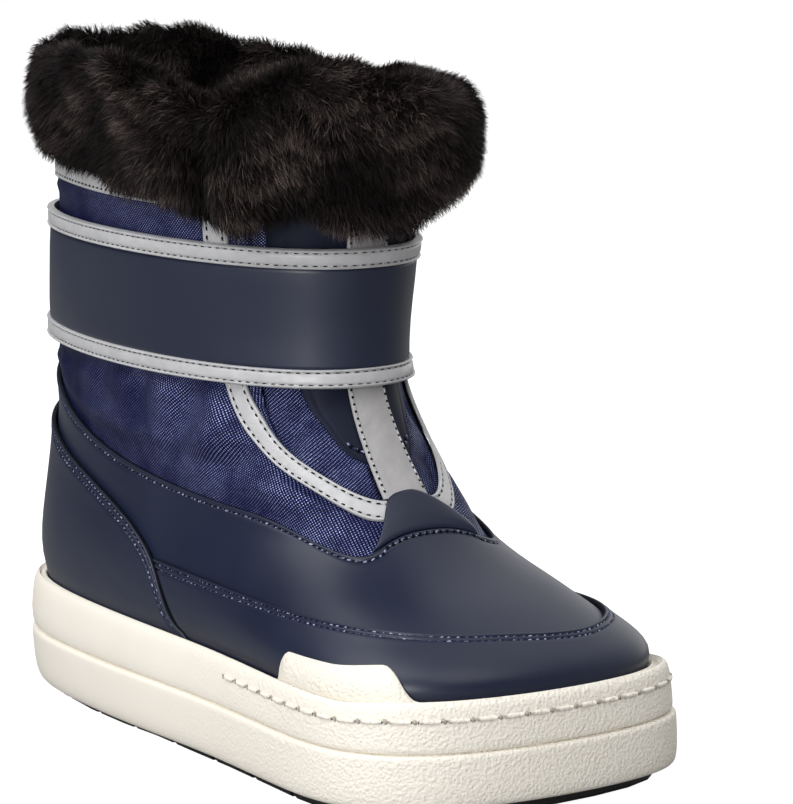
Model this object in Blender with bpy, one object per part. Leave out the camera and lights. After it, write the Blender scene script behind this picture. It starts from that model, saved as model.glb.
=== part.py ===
"""Apres-ski boot for the right foot, standing empty on its sole. Metres, +X to the toe, +Y to the inner side, +Z up.

The origin is on the floor under the middle of the heel. One function, upper_point, gives the outside of
the upper, and each panel, tape, strap and collar is laid on it at its own distance.
"""

import bpy
import bmesh
import numpy as np

# Main sizes
SOLE_LENGTH = 0.285
BALL_WIDTH = 0.121
HEEL_BACK = 0.040
SOLE_TOP = 0.0355
COLLAR_HEIGHT = 0.212
TOE_BEND = 0.0037

# Sole
BOTTOM_HEEL = 0.0023
BOTTOM_TOE = 0.0050
GROOVE_HEIGHT = 0.0212
RIM_HEEL = 0.0404
RIM_TOE = 0.0352
SIDE_INSET = 0.0063
RIM_THICKNESS = 0.0015
RIM_EDGE = 0.0008
TAB_HEIGHT = 0.0072
TAB_CLEAR = 0.0010
TREAD_INSET = 0.0062
TREAD_CUT = 0.0022
TREAD_CUT_WIDTH = 0.0032
TREAD_CUTS = 9
TREAD_RISE = 0.0008
TREAD_EDGE = 0.0012
TREAD_DRAFT = 0.0002
TREAD_BEND = 0.010
ARCH_LIFT = 0.0006
CUP_FLOOR = 0.0050
WELL_HEEL = 0.0255
WELL_TOE = 0.0215

# Walls, panels and tapes
GAP = 0.0003
WALL = 0.0025
PANEL = 0.0013
TAPE = 0.0009
STRAP = 0.0018
STRAP_TAPE = 0.0022
INSOLE = 0.0040
INSOLE_EDGE = 0.0010
TONGUE = 0.0026
TONGUE_TOP_LEVEL = 8.5

# Strap and collar, measured down from the collar
STRAP_DROP = 0.0470
STRAP_WIDTH = 0.0450
STRAP_TAPE_WIDTH = 0.0062
STRAP_TILT = 0.035
COLLAR_TAPE_DROP = 0.0380
COLLAR_TAPE_WIDTH = 0.0075
FUR_RISE = 0.0160
FUR_HEIGHT = 0.0600
FUR_SIDE_DEPTH = 0.0094
FUR_FRONT_DEPTH = 0.0196
LOCK_DEPTH = 0.0024

# Where the surfaces are divided: degrees from the back to the toe on each side, and levels up the upper
RING_DEGREES = [0, 10, 21, 33, 46, 60, 72, 82, 91.5, 102, 113, 123, 133, 142, 151, 159, 167, 174, 180]
RING_LEVELS = [-0.93, -0.2, 0.3, 0.95, 1.6, 2.3, 3.0, 3.65, 4.2, 4.6, 5.0, 5.5, 6.1, 6.8, 7.6, 8.5]
ABOVE_COLLAR = [9.2, 10.0]
FUR_AROUND = 44

# Angle round the sole in degrees, lateral and medial half width as shares of the ball width
SOLE_OUTLINE = np.array([
    (0, 0.000, 0.000),
    (20, 0.177, 0.177),
    (40, 0.313, 0.313),
    (60, 0.378, 0.378),
    (80, 0.413, 0.380),
    (100, 0.443, 0.390),
    (120, 0.495, 0.456),
    (140, 0.506, 0.486),
    (155, 0.412, 0.414),
    (168, 0.237, 0.244),
    (180, 0.000, 0.000),
])

# Height from the bottom (0) over the groove (1) to the rim (2), inset at the heel and at the toe as shares
SOLE_SIDE = np.array([
    (0.00, 0.90, 0.35),
    (0.10, 0.40, 0.08),
    (0.45, 0.12, 0.00),
    (0.92, 0.02, 0.04),
    (0.99, 0.10, 0.14),
    (1.00, 0.28, 0.36),
    (1.06, 0.12, 0.22),
    (1.35, 0.02, 0.26),
    (1.75, 0.20, 0.50),
])

# Level, back x and height, front x and height, half width, roundness.
# x is a share of the sole's length from its back, height a share from the sole's top to the collar,
# half width a share of the ball width, roundness 0 for the sole's outline and 1 for an oval shaft.
LEVELS = np.array([
    (-1, 0.0400, -0.0560, 0.9640, -0.0780, 0.404, 0.00),
    (0, 0.0393, 0.0150, 0.9660, -0.0150, 0.405, 0.00),
    (1, 0.0300, 0.0820, 0.9690, 0.0220, 0.422, 0.00),
    (2, 0.0330, 0.1730, 0.9390, 0.0640, 0.396, 0.20),
    (3, 0.0400, 0.2750, 0.8700, 0.1190, 0.350, 0.40),
    (4, 0.0430, 0.3860, 0.7810, 0.1890, 0.312, 0.60),
    (5, 0.0440, 0.4900, 0.7020, 0.3200, 0.306, 0.80),
    (6, 0.0560, 0.5920, 0.6520, 0.4670, 0.308, 1.00),
    (7, 0.0730, 0.7050, 0.6520, 0.6350, 0.329, 1.00),
    (8, 0.0870, 0.8470, 0.6730, 0.8190, 0.353, 1.00),
    (9, 0.0965, 1.0000, 0.6890, 1.0000, 0.374, 1.00),
    (10, 0.1050, 1.1600, 0.7020, 1.1800, 0.390, 1.00),
])

# Edges of the panels: angle in degrees from the back and level
PANEL_TOP = np.array([
    (0, 4.65), (25, 4.45), (42, 4.18), (60, 3.92), (90, 3.87), (114, 4.05), (131, 4.12), (146, 3.94),
    (154, 3.91), (160, 4.02), (168, 4.20), (180, 4.30),
])
RAND_TOP = np.array([
    (60, 2.08), (84, 2.12), (112, 2.22), (138, 2.30), (160, 2.33), (180, 2.42),
])
COUNTER_END = 91.5
RAND_CLEAR_DEGREES = 0.57
COUNTER_TOP = np.array([
    (0, 3.85), (20, 3.66), (40, 3.42), (52, 3.26), (64, 3.08), (74, 2.82), (80, 2.52), (84, 2.10),
    (86.5, 1.40), (89, 0.62), (COUNTER_END, 0.30),
])

# Half of the throat's tape from its lowest point up: inner edge, then outer edge, degrees from the front and level
THROAT_TAPE = np.array([
    (0, 4.70, 0, 4.44),
    (10, 4.68, 12, 4.45),
    (19, 4.78, 20, 4.50),
    (28, 4.95, 32, 4.72),
    (38, 5.20, 42, 4.92),
    (43, 5.52, 48, 5.16),
    (46, 5.80, 52, 5.47),
    (48, 6.40, 55, 6.20),
    (50, 7.30, 58, 7.30),
    (51.5, 8.30, 59.5, 8.30),
])

# Level, and half width of the tongue's panel in degrees from the front
TONGUE_PANEL = np.array([
    (5.12, 5), (5.18, 11), (5.32, 17), (5.60, 23), (6.00, 29), (7.47, 39), (8.50, 43),
])
STRIP_HALF = 8.0

# Fur's cuff, once round its section: distance from the upper's surface as a share of its depth, and height
# from its low edge (0) to its top (1). Inside the boot the distance is counted from the lining.
FUR_OUTSIDE = np.array([
    (0.62, 0.00), (0.92, 0.12), (1.02, 0.32), (1.03, 0.55), (0.93, 0.78), (0.62, 0.95), (0.15, 1.00),
])
FUR_INSIDE = np.array([
    (0.02, 0.95), (0.32, 0.78), (0.40, 0.60), (0.30, 0.42),
])

# Once round the fur: degrees from the back, height of its low edge and of its crest as shares of its height
FUR_EDGES = np.array([
    (0, 0.283, 0.975),
    (30, 0.300, 0.917),
    (50, 0.325, 0.908),
    (70, 0.290, 0.933),
    (90, 0.208, 0.892),
    (105, 0.138, 0.825),
    (120, 0.075, 0.750),
    (130, 0.020, 0.767),
    (142, 0.033, 0.850),
    (152, 0.092, 0.875),
    (170, 0.010, 0.845),
    (187, 0.020, 0.810),
    (205, 0.160, 0.770),
    (240, 0.220, 0.765),
    (280, 0.250, 0.800),
    (310, 0.283, 0.890),
    (335, 0.283, 0.975),
    (360, 0.283, 0.975),
])

NAVY = (0.026, 0.032, 0.060, 1.0)
NYLON = (0.018, 0.022, 0.110, 1.0)
GREY_TAPE = (0.42, 0.43, 0.45, 1.0)
CREAM = (0.85, 0.81, 0.74, 1.0)
BLACK = (0.012, 0.012, 0.013, 1.0)
FUR_BLACK = (0.010, 0.008, 0.008, 1.0)
FELT = (0.10, 0.10, 0.11, 1.0)


def clear_scene():
    for thing in list(bpy.data.objects):
        bpy.data.objects.remove(thing, do_unlink=True)


def smooth(knots, values, at, closed=False):
    """A cubic curve through the rows of a table, with an even bend at each row."""
    knots = np.asarray(knots, float)
    values = np.asarray(values, float)
    at = np.asarray(at, float)
    steps = np.diff(knots)
    count = len(knots) - 1 if closed else len(knots)
    matrix = np.zeros((count, count))
    right = np.zeros((count,) + values.shape[1:])
    for row in range(count):
        if not closed and row in (0, count - 1):
            matrix[row, row] = 1.0
            continue
        before, after = steps[row - 1], steps[row]
        following = (row + 1) % count
        matrix[row, row - 1] += before
        matrix[row, row] += 2 * (before + after)
        matrix[row, following] += after
        right[row] = 6 * ((values[following] - values[row]) / after - (values[row] - values[row - 1]) / before)
    bends = np.linalg.solve(matrix, right)
    if closed:
        bends = np.concatenate([bends, bends[:1]])
    index = np.clip(np.searchsorted(knots, at, side="right") - 1, 0, len(knots) - 2)
    step = knots[index + 1] - knots[index]
    share = (at - knots[index]) / step
    if values.ndim > 1:
        step, share = step[..., None], share[..., None]
    straight = values[index] * (1 - share) + values[index + 1] * share
    curved = ((1 - share) ** 3 - (1 - share)) * bends[index] + (share ** 3 - share) * bends[index + 1]
    return straight + step * step / 6 * curved


def ease(share):
    share = np.clip(share, 0.0, 1.0)
    return share * share * (3 - 2 * share)


def along(angle):
    """How far along the boot an angle lies: 0 at the back, 1 at the toe."""
    return (1 - np.cos(angle)) / 2


def toe_bend(share):
    return TOE_BEND * np.clip((share - 0.35) / 0.65, 0, 1) ** 2


def outline_share(angle):
    """Sideways share of the ball width round the sole: the lateral side first, then the medial side."""
    degrees = np.concatenate([SOLE_OUTLINE[:, 0], 360 - SOLE_OUTLINE[::-1, 0][1:]])
    shares = np.concatenate([-SOLE_OUTLINE[:, 1], SOLE_OUTLINE[::-1, 2][1:]])
    return smooth(degrees, shares, np.degrees(angle) % 360, closed=True)


def sole_ring(angle, inset, height):
    """The sole's outline moved inwards by inset, at a height."""
    step = 1e-3

    def place(turn):
        share = along(turn)
        return -HEEL_BACK + SOLE_LENGTH * share, BALL_WIDTH * outline_share(turn) + toe_bend(share)

    x, y = place(angle)
    ahead, behind = place(angle + step), place(angle - step)
    dx, dy = ahead[0] - behind[0], ahead[1] - behind[1]
    length = np.hypot(dx, dy)
    return np.stack([x - dy / length * inset, y + dx / length * inset, np.broadcast_to(height, x.shape)], -1)


def level_row(level):
    row = smooth(LEVELS[:, 0], LEVELS[:, 1:], level)
    rise = COLLAR_HEIGHT - SOLE_TOP
    back = -HEEL_BACK + SOLE_LENGTH * row[..., 0], SOLE_TOP + rise * row[..., 1]
    front = -HEEL_BACK + SOLE_LENGTH * row[..., 2], SOLE_TOP + rise * row[..., 3]
    return back, front, BALL_WIDTH * row[..., 4], row[..., 5]


def on_surface(angle, level):
    back, front, half, roundness = level_row(level)
    share = along(angle)
    x = back[0] + (front[0] - back[0]) * share
    z = back[1] + (front[1] - back[1]) * share
    turn = np.sin(angle)
    oval = -np.sign(turn) * np.abs(turn) ** 0.86
    y = half * (2 * outline_share(angle) * (1 - roundness) + oval * roundness)
    return np.stack([x, y + toe_bend(share) * (1 - roundness), z], -1)


def outward(angle, level):
    """The direction away from the upper, at angle round it and level up it."""
    step = 2e-3
    across = on_surface(angle + step, level) - on_surface(angle - step, level)
    upward = on_surface(angle, level + step) - on_surface(angle, level - step)
    normal = np.cross(across, upward)
    return normal / np.linalg.norm(normal, axis=-1, keepdims=True)


def upper_point(angle, level, out=0.0):
    """A point of the upper's flat faces at angle and level, moved outwards by out, so that layers keep their gaps."""
    angle, level, out = np.broadcast_arrays(np.asarray(angle, float), np.asarray(level, float), out)
    turns = np.append(ring_angles(), 2 * np.pi)
    levels = np.array(RING_LEVELS + ABOVE_COLLAR)
    corners = on_surface(turns[:, None], levels[None])
    normals = outward(turns[:, None], levels[None])
    turn = np.mod(angle, 2 * np.pi)
    row = np.clip(np.searchsorted(turns, turn, side="right") - 1, 0, len(turns) - 2)
    column = np.clip(np.searchsorted(levels, level, side="right") - 1, 0, len(levels) - 2)
    down = ((turn - turns[row]) / (turns[row + 1] - turns[row]))[..., None]
    right = ((level - levels[column]) / (levels[column + 1] - levels[column]))[..., None]

    def mixed(values):
        a, b = values[row, column], values[row + 1, column]
        c, d = values[row + 1, column + 1], values[row, column + 1]
        return np.where(down >= right, a + down * (b - a) + right * (c - b), a + right * (d - a) + down * (c - d))

    return mixed(corners) + mixed(normals) * out[..., None]


def level_at(angle, height, tilt=0.0):
    """The level where the surface reaches a height, which may fall to the front by tilt."""
    levels = np.linspace(LEVELS[0, 0], LEVELS[-1, 0], 221)
    points = on_surface(np.asarray(angle)[:, None], levels[None])
    reached = points[..., 2] + tilt * points[..., 0]
    height = np.broadcast_to(height, np.shape(angle))
    return np.array([np.interp(height[i], reached[i], levels) for i in range(len(reached))])


def edge(table, angle):
    """The level of a panel's edge at an angle, the same on both sides of the boot."""
    degrees = np.degrees(angle) % 360
    degrees = np.where(degrees > 180, 360 - degrees, degrees)
    return np.interp(degrees, table[:, 0], table[:, 1])


def material(name, colour, roughness, metallic=0.0):
    made = bpy.data.materials.new(name)
    made.use_nodes = True
    shader = made.node_tree.nodes["Principled BSDF"]
    shader.inputs["Base Color"].default_value = colour
    shader.inputs["Roughness"].default_value = roughness
    shader.inputs["Metallic"].default_value = metallic
    made.diffuse_color = colour
    return made


def add_mesh(name, points, faces, finish, collection):
    mesh = bpy.data.meshes.new(name)
    mesh.from_pydata(points.reshape(-1, 3).tolist(), [], faces)
    work = bmesh.new()
    work.from_mesh(mesh)
    bmesh.ops.recalc_face_normals(work, faces=work.faces)
    work.to_mesh(mesh)
    work.free()
    mesh.shade_smooth()
    mesh.set_sharp_from_angle(angle=0.7)
    if finish:
        mesh.materials.append(finish)
    made = bpy.data.objects.new(name, mesh)
    collection.objects.link(made)
    return made


def grid_faces(rows, columns, start=0, wrap_rows=False, wrap_columns=False):
    """Triangles over a grid of points, every quad cut the same way so that layers stay the same distance apart."""
    faces = []
    for row in range(rows if wrap_rows else rows - 1):
        for column in range(columns if wrap_columns else columns - 1):
            below, right = (row + 1) % rows, (column + 1) % columns
            a, b = start + row * columns + column, start + below * columns + column
            c, d = start + below * columns + right, start + row * columns + right
            faces += [(a, b, c), (a, c, d)]
    return faces


def sheet(name, outer, inner, finish, collection, closed=False):
    """A closed solid between an outer and an inner grid, with a rim where they end."""
    rows, columns = outer.shape[:2]
    inside = rows * columns
    faces = grid_faces(rows, columns, wrap_rows=closed)
    faces += [face[::-1] for face in grid_faces(rows, columns, inside, wrap_rows=closed)]
    for row in range(rows if closed else rows - 1):
        below = (row + 1) % rows
        for column in (0, columns - 1):
            a, b = row * columns + column, below * columns + column
            faces.append((a, b, b + inside, a + inside))
    if not closed:
        for row in (0, rows - 1):
            for column in range(columns - 1):
                a, b = row * columns + column, row * columns + column + 1
                faces.append((a, b, b + inside, a + inside))
    return add_mesh(name, np.concatenate([outer.reshape(-1, 3), inner.reshape(-1, 3)]), faces, finish, collection)


def evenly(low, high, rows):
    """Levels from one edge to the other at each angle."""
    share = np.linspace(0, 1, rows)[None]
    return np.asarray(low)[:, None] + (np.asarray(high) - np.asarray(low))[:, None] * share


def up_to(high):
    """The upper's own levels up to an edge, the last ones drawn together under it."""
    levels = np.array([level for level in RING_LEVELS if level < np.max(high)] + [np.max(high)])
    under = np.asarray(high)[:, None] - 0.03 * np.arange(len(levels))[::-1]
    return np.minimum(levels[None], under)


def patch(name, angle, level, out, thickness, finish, collection, closed=False):
    """A panel laid on the upper over a grid of levels, a row for each angle."""
    out = np.broadcast_to(out, angle.shape)[:, None]
    inner = upper_point(angle[:, None], level, out)
    outer = upper_point(angle[:, None], level, out + thickness)
    return sheet(name, outer, inner, finish, collection, closed)


def ring_angles(extra=()):
    degrees = sorted(set(RING_DEGREES) | set(extra))
    return np.radians(degrees + [360 - angle for angle in degrees[-2:0:-1]])


def between(start, end, extra=()):
    """The ring's own angles between two angles in degrees, with both ends added."""
    ring = np.degrees(ring_angles(extra))
    turns = np.concatenate([ring - 360, ring, ring + 360])
    kept = turns[(turns > start + 2) & (turns < end - 2)]
    return np.radians(np.concatenate([[start], kept, [end]]))


def strip_faces(count, start):
    """Quads that join the two sides of a ring, from the back to the toe."""
    half = count // 2
    faces = [(start, start + 1, start + count - 1)]
    faces += [(start + i, start + i + 1, start + count - i - 1, start + count - i) for i in range(1, half - 1)]
    faces.append((start + half - 1, start + half, start + half + 1))
    return faces


def ringed_solid(name, rings, finish, collection):
    """A closed solid of rings one after another, its first and last ring filled across."""
    count = rings.shape[1]
    faces = grid_faces(len(rings), count, wrap_columns=True)
    faces += strip_faces(count, 0)
    faces += [face[::-1] for face in strip_faces(count, (len(rings) - 1) * count)]
    return add_mesh(name, rings, faces, finish, collection)


def bottom_height(share):
    return BOTTOM_HEEL + (BOTTOM_TOE - BOTTOM_HEEL) * share ** 2


def rim_height(angle):
    """Top of the sole's rim, with the tab that rises on the lateral side before the ball."""
    degrees = np.degrees(angle) % 360
    tab = ease((degrees - 121) / 6) * ease((157 - degrees) / 7)
    lean = 1 - 0.25 * np.clip((degrees - 127) / 25, 0, 1)
    return RIM_HEEL + (RIM_TOE - RIM_HEEL) * along(angle) + TAB_HEIGHT * tab * lean


def over_vamp():
    """Distance from the upper's surface to the panels that lie on the vamp."""
    return 3 * GAP + PANEL


def make_cupsole(finish, collection):
    angle = ring_angles(extra=(120, 126, 153, 156))
    share = along(angle)
    bottom = bottom_height(share)
    rings = [sole_ring(angle, 2 * TREAD_INSET, bottom + CUP_FLOOR / 2)]
    rings.append(sole_ring(angle, 1.2 * TREAD_INSET, bottom))
    plain_rim = RIM_HEEL + (RIM_TOE - RIM_HEEL) * share
    for height, heel, toe in SOLE_SIDE:
        inset = SIDE_INSET * (heel + (toe - heel) * share)
        low, high = (bottom, GROOVE_HEIGHT) if height <= 1 else (GROOVE_HEIGHT, plain_rim)
        rings.append(sole_ring(angle, inset, low + (high - low) * (height - (height > 1))))
    rim = rim_height(angle)
    well = WELL_HEEL + (WELL_TOE - WELL_HEEL) * share
    out = over_vamp() + PANEL + 2 * GAP + TAB_CLEAR * (rim - plain_rim) / TAB_HEIGHT
    wall = [
        (plain_rim - RIM_EDGE, RIM_THICKNESS + RIM_EDGE / 2),
        ((plain_rim + rim) / 2, RIM_THICKNESS),
        (rim + RIM_EDGE / 2, RIM_THICKNESS / 2),
    ]
    rings += [upper_point(angle, level_at(angle, height), out + beyond) for height, beyond in wall]
    rings += [upper_point(angle, level, out) for level in up_to(level_at(angle, rim)).T[::-1]]
    floor = upper_point(angle, level_at(angle, well), out)
    floor[:, 2] = well - GAP
    rings.append(floor)
    return ringed_solid("cupsole", np.array(rings), finish, collection)


def tread_bottom(share):
    """Flat at the heel and the ball, with a low arch and a rising toe."""
    arch = ARCH_LIFT * np.sin(np.pi * np.clip((share - 0.30) / 0.25, 0, 1)) ** 2
    return arch + TREAD_RISE * np.clip((share - 0.80) / 0.20, 0, 1) ** 2


def make_outsole(finish, cutter_finish, collection, cutters):
    angle = ring_angles()
    share = along(angle)
    low = tread_bottom(share)
    high = bottom_height(share) - GAP
    rings = [
        sole_ring(angle, TREAD_INSET + TREAD_EDGE, low),
        sole_ring(angle, TREAD_INSET + TREAD_DRAFT, low + TREAD_EDGE),
        sole_ring(angle, TREAD_INSET, high),
        sole_ring(angle, 1.2 * TREAD_INSET, high),
        sole_ring(angle, 2 * TREAD_INSET + GAP, high + CUP_FLOOR / 2),
    ]
    made = ringed_solid("outsole", np.array(rings), finish, collection)
    cutter = tread_cutter(cutter_finish, cutters)
    cut = made.modifiers.new("tread", "BOOLEAN")
    cut.operation = "DIFFERENCE"
    cut.object = cutter
    return made


def tread_cutter(finish, collection):
    """Bent grooves across the tread, clear of the heel's middle, joined as one cutter."""
    work = bmesh.new()
    pitch = SOLE_LENGTH / (TREAD_CUTS + 1)
    for index in range(TREAD_CUTS):
        middle = -HEEL_BACK + pitch * (index + 1)
        if abs(middle) < TREAD_CUT_WIDTH:
            continue
        side = BALL_WIDTH / 2
        half = TREAD_CUT_WIDTH / 2
        corners = [(-side, TREAD_BEND), (0, 0), (side, TREAD_BEND), (side, TREAD_BEND), (0, 0), (-side, TREAD_BEND)]
        signs = [1, 1, 1, -1, -1, -1]
        flat = [work.verts.new((middle - c[1] + half * s, c[0], -TREAD_CUT)) for c, s in zip(corners, signs)]
        lift = tread_bottom((middle + HEEL_BACK) / SOLE_LENGTH) + TREAD_CUT
        top = [work.verts.new((vert.co.x, vert.co.y, lift)) for vert in flat]
        for low_ring in ((0, 1, 4, 5), (1, 2, 3, 4)):
            work.faces.new([flat[i] for i in low_ring])
            work.faces.new([top[i] for i in low_ring][::-1])
        for i in range(6):
            if i != 2 and i != 5:
                j = (i + 1) % 6
                work.faces.new([flat[i], flat[j], top[j], top[i]])
        for i, j in ((2, 3), (5, 0)):
            work.faces.new([flat[i], flat[j], top[j], top[i]])
    bmesh.ops.recalc_face_normals(work, faces=work.faces)
    mesh = bpy.data.meshes.new("tread_cutter")
    work.to_mesh(mesh)
    work.free()
    mesh.materials.append(finish)
    cutter = bpy.data.objects.new("tread_cutter", mesh)
    cutter.hide_render = True
    cutter.display_type = "WIRE"
    collection.objects.link(cutter)
    return cutter


def make_insole(finish, collection):
    angle = ring_angles()
    share = along(angle)
    well = WELL_HEEL + (WELL_TOE - WELL_HEEL) * share
    rings = []
    for height, edge_share in ((0.0, 0.6), (0.8, 0.0), (1.0, 1.0)):
        out = -WALL - 2 * GAP - INSOLE_EDGE * edge_share
        ring = upper_point(angle, level_at(angle, well + INSOLE * height), out)
        ring[:, 2] = well + GAP + INSOLE * height
        rings.append(ring)
    return ringed_solid("insole", np.array(rings), finish, collection)


def make_upper(finish, collection, cutters):
    angle = ring_angles()
    levels = np.array(RING_LEVELS)
    outer = upper_point(angle[:, None], levels[None], 0.0)
    inner = upper_point(angle[:, None], levels[None], -WALL)
    made = sheet("upper", outer, inner, finish, collection, closed=True)
    cut = made.modifiers.new("throat", "BOOLEAN")
    cut.operation = "DIFFERENCE"
    cut.object = throat_cutter(finish, cutters)
    return made


def throat_middle():
    """The throat's edge, midway across its tape: degrees from the front and level, lowest point first."""
    return (THROAT_TAPE[:, :2] + THROAT_TAPE[:, 2:]) / 2


def throat_cutter(finish, collection):
    """The throat's outline from the front, pushed back through the front wall only."""
    middle = throat_middle()
    lateral = on_surface(np.pi - np.radians(middle[::-1, 0]), middle[::-1, 1])
    medial = on_surface(np.pi + np.radians(middle[1:, 0]), middle[1:, 1])
    edge_points = np.concatenate([lateral, medial])
    over = COLLAR_HEIGHT * 1.1
    outline = [(edge_points[0, 1], over)] + [(p[1], p[2]) for p in edge_points] + [(edge_points[-1, 1], over)]
    back = on_surface(np.pi / 2, 6.0)[0] + SOLE_LENGTH * 0.07
    front = -HEEL_BACK + SOLE_LENGTH
    count = len(outline)
    points = np.array([(back, y, z) for y, z in outline] + [(front, y, z) for y, z in outline])
    faces = [tuple(range(count)), tuple(range(2 * count - 1, count - 1, -1))]
    faces += [(i, (i + 1) % count, (i + 1) % count + count, i + count) for i in range(count)]
    cutter = add_mesh("throat_cutter", points, faces, finish, collection)
    cutter.hide_render = True
    cutter.display_type = "WIRE"
    return cutter


def make_lower_panels(finish, collection):
    angle = ring_angles()
    patch("vamp", angle, up_to(edge(PANEL_TOP, angle)), GAP, PANEL, finish, collection, closed=True)
    around = between(-COUNTER_END, COUNTER_END, extra=(78, 86.5, 89))
    patch("heel_counter", around, up_to(edge(COUNTER_TOP, around)), over_vamp(), PANEL, finish, collection)
    make_rand(over_vamp(), finish, collection)


def make_rand(out, finish, collection):
    """The band round the toe, each end cut along the counter's front edge."""
    middle = between(94, 266)
    level = up_to(edge(RAND_TOP, middle))
    down = COUNTER_TOP[COUNTER_TOP[:, 0] > 80][::-1]
    cut = np.radians(np.interp(level[0], down[:, 1], down[:, 0]) + RAND_CLEAR_DEGREES)
    angle = np.concatenate([cut[None], np.tile(middle[:, None], (1, level.shape[1])), 2 * np.pi - cut[None]])
    level = np.concatenate([level[:1], level, level[-1:]])
    sheet("toe_rand", upper_point(angle, level, out + PANEL), upper_point(angle, level, out), finish, collection)


def make_throat_tape(finish, collection):
    """The grey tape that binds the throat, from the collar down round it and up again."""
    rows = np.linspace(0, 1, 20)
    table = smooth(np.linspace(0, 1, len(THROAT_TAPE)), THROAT_TAPE, rows)
    both = np.concatenate([table[::-1] * (-1, 1, -1, 1), table[1:]])
    across = np.linspace(0, 1, 3)[None]
    degrees = both[:, 0:1] + (both[:, 2:3] - both[:, 0:1]) * across
    level = both[:, 1:2] + (both[:, 3:4] - both[:, 1:2]) * across
    angle = np.pi + np.radians(degrees)
    outer = upper_point(angle, level, GAP + TAPE)
    sheet("throat_tape", outer, upper_point(angle, level, GAP), finish, collection)


def make_tab(finish, collection):
    """The rounded tab that covers the foot of the throat."""
    half = 16.0
    turn = np.linspace(-1, 1, 11)
    angle = np.pi + np.radians(half * turn)
    low = edge(PANEL_TOP, angle) + 0.03
    high = 4.78 - 0.36 * turn ** 2 - 0.06 * turn ** 10
    out = 2 * GAP + TAPE
    patch("throat_tab", angle, evenly(low, np.maximum(high, low + 0.08), 4), out, PANEL, finish, collection)


def tongue_patch(name, half_width, levels, out, thickness, columns, finish, collection):
    turn = np.linspace(-1, 1, columns)[:, None]
    angle = np.pi + np.radians(np.asarray(half_width)[None]) * turn
    level = np.broadcast_to(np.asarray(levels, float)[None], angle.shape)
    outer = upper_point(angle, level, out + thickness)
    return sheet(name, outer, upper_point(angle, level, out), finish, collection)


def make_tongue(cloth, panel, tape, collection):
    behind = -WALL - 2 * GAP
    levels = np.array([4.25, 4.5, 4.8, 5.2, 5.6, 6.0, 6.6, 7.3, 8.0, TONGUE_TOP_LEVEL])
    middle = throat_middle()
    reach = np.interp(levels, middle[1:, 1], middle[1:, 0]) + 10
    tongue_patch("tongue", reach, levels, behind - TONGUE, TONGUE, 15, cloth, collection)
    front = behind + 2 * GAP
    levels = np.array([5.12, 5.18, 5.32, 5.6, 6.0, 6.6, 7.3, 8.0, TONGUE_TOP_LEVEL - 0.02])
    reach = np.interp(levels, TONGUE_PANEL[:, 0], TONGUE_PANEL[:, 1])
    tongue_patch("tongue_panel", reach, levels, front, TAPE, 11, panel, collection)
    levels = np.array([4.72, 4.8, 5.2, 5.6, 6.0, 6.6, 7.3, 8.0, TONGUE_TOP_LEVEL - 0.05])
    strip = np.full(len(levels), STRIP_HALF)
    tongue_patch("tongue_strip", strip, levels, front + TAPE + 2 * GAP, TAPE, 5, tape, collection)


def make_strap(finish, tape, collection):
    """A strap once round the shaft whose end laps over its start on the medial side."""
    start, rise_from, rise_to, end = -110.0, 232.0, 246.0, 285.0
    angle = np.concatenate([between(start, rise_from), np.radians([236, 239, 242]), between(rise_to, end)])
    out = 2 * GAP + TAPE + GAP + (STRAP_TAPE + GAP) * ease((np.degrees(angle) - rise_from) / (rise_to - rise_from))
    middle = on_surface(np.pi / 2, 6.5)[0]
    fall = STRAP_TILT * middle
    bottom = COLLAR_HEIGHT - STRAP_DROP - STRAP_WIDTH
    top = COLLAR_HEIGHT - STRAP_DROP

    def band(name, low, high, thickness, rows, coat):
        levels = level_at(angle, low + fall, STRAP_TILT), level_at(angle, high + fall, STRAP_TILT)
        patch(name, angle, evenly(*levels, rows), out, thickness, coat, collection)

    tape_low = bottom + STRAP_TAPE_WIDTH
    tape_high = top - STRAP_TAPE_WIDTH
    band("strap", tape_low + GAP, tape_high - GAP, STRAP, 3, finish)
    band("strap_tape_bottom", bottom, tape_low, STRAP_TAPE, 2, tape)
    band("strap_tape_top", tape_high, top, STRAP_TAPE, 2, tape)


def make_collar_tape(finish, collection):
    throat = throat_middle()[-1, 0]
    angle = between(-(180 - throat - 5.5), 180 - throat - 5.5)
    height = COLLAR_HEIGHT - COLLAR_TAPE_DROP
    low = level_at(angle, height)
    high = level_at(angle, height + COLLAR_TAPE_WIDTH)
    patch("collar_tape", angle, evenly(low, high, 2), GAP, TAPE, finish, collection)


def fur_section(angle, share, out_share, inside):
    """One ring of the fur's cuff, outside or inside the wall."""
    degrees = np.degrees(angle) % 360
    degrees = np.where(degrees > 180, 360 - degrees, degrees)
    edges = smooth(FUR_EDGES[:, 0], FUR_EDGES[:, 1:], np.degrees(angle) % 360, closed=True)
    hem, top = (COLLAR_HEIGHT + FUR_RISE - FUR_HEIGHT * (1 - edges)).T
    forward = ease((degrees - 70) / 90)
    depth = FUR_SIDE_DEPTH + (FUR_FRONT_DEPTH - FUR_SIDE_DEPTH) * forward
    behind = WALL + GAP + (TONGUE + 2 * GAP) * ease((degrees - 95) / 15)
    height = hem + (top - hem) * share
    out = np.where(inside, -behind - depth * out_share, depth * out_share)
    return angle, height, out


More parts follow.
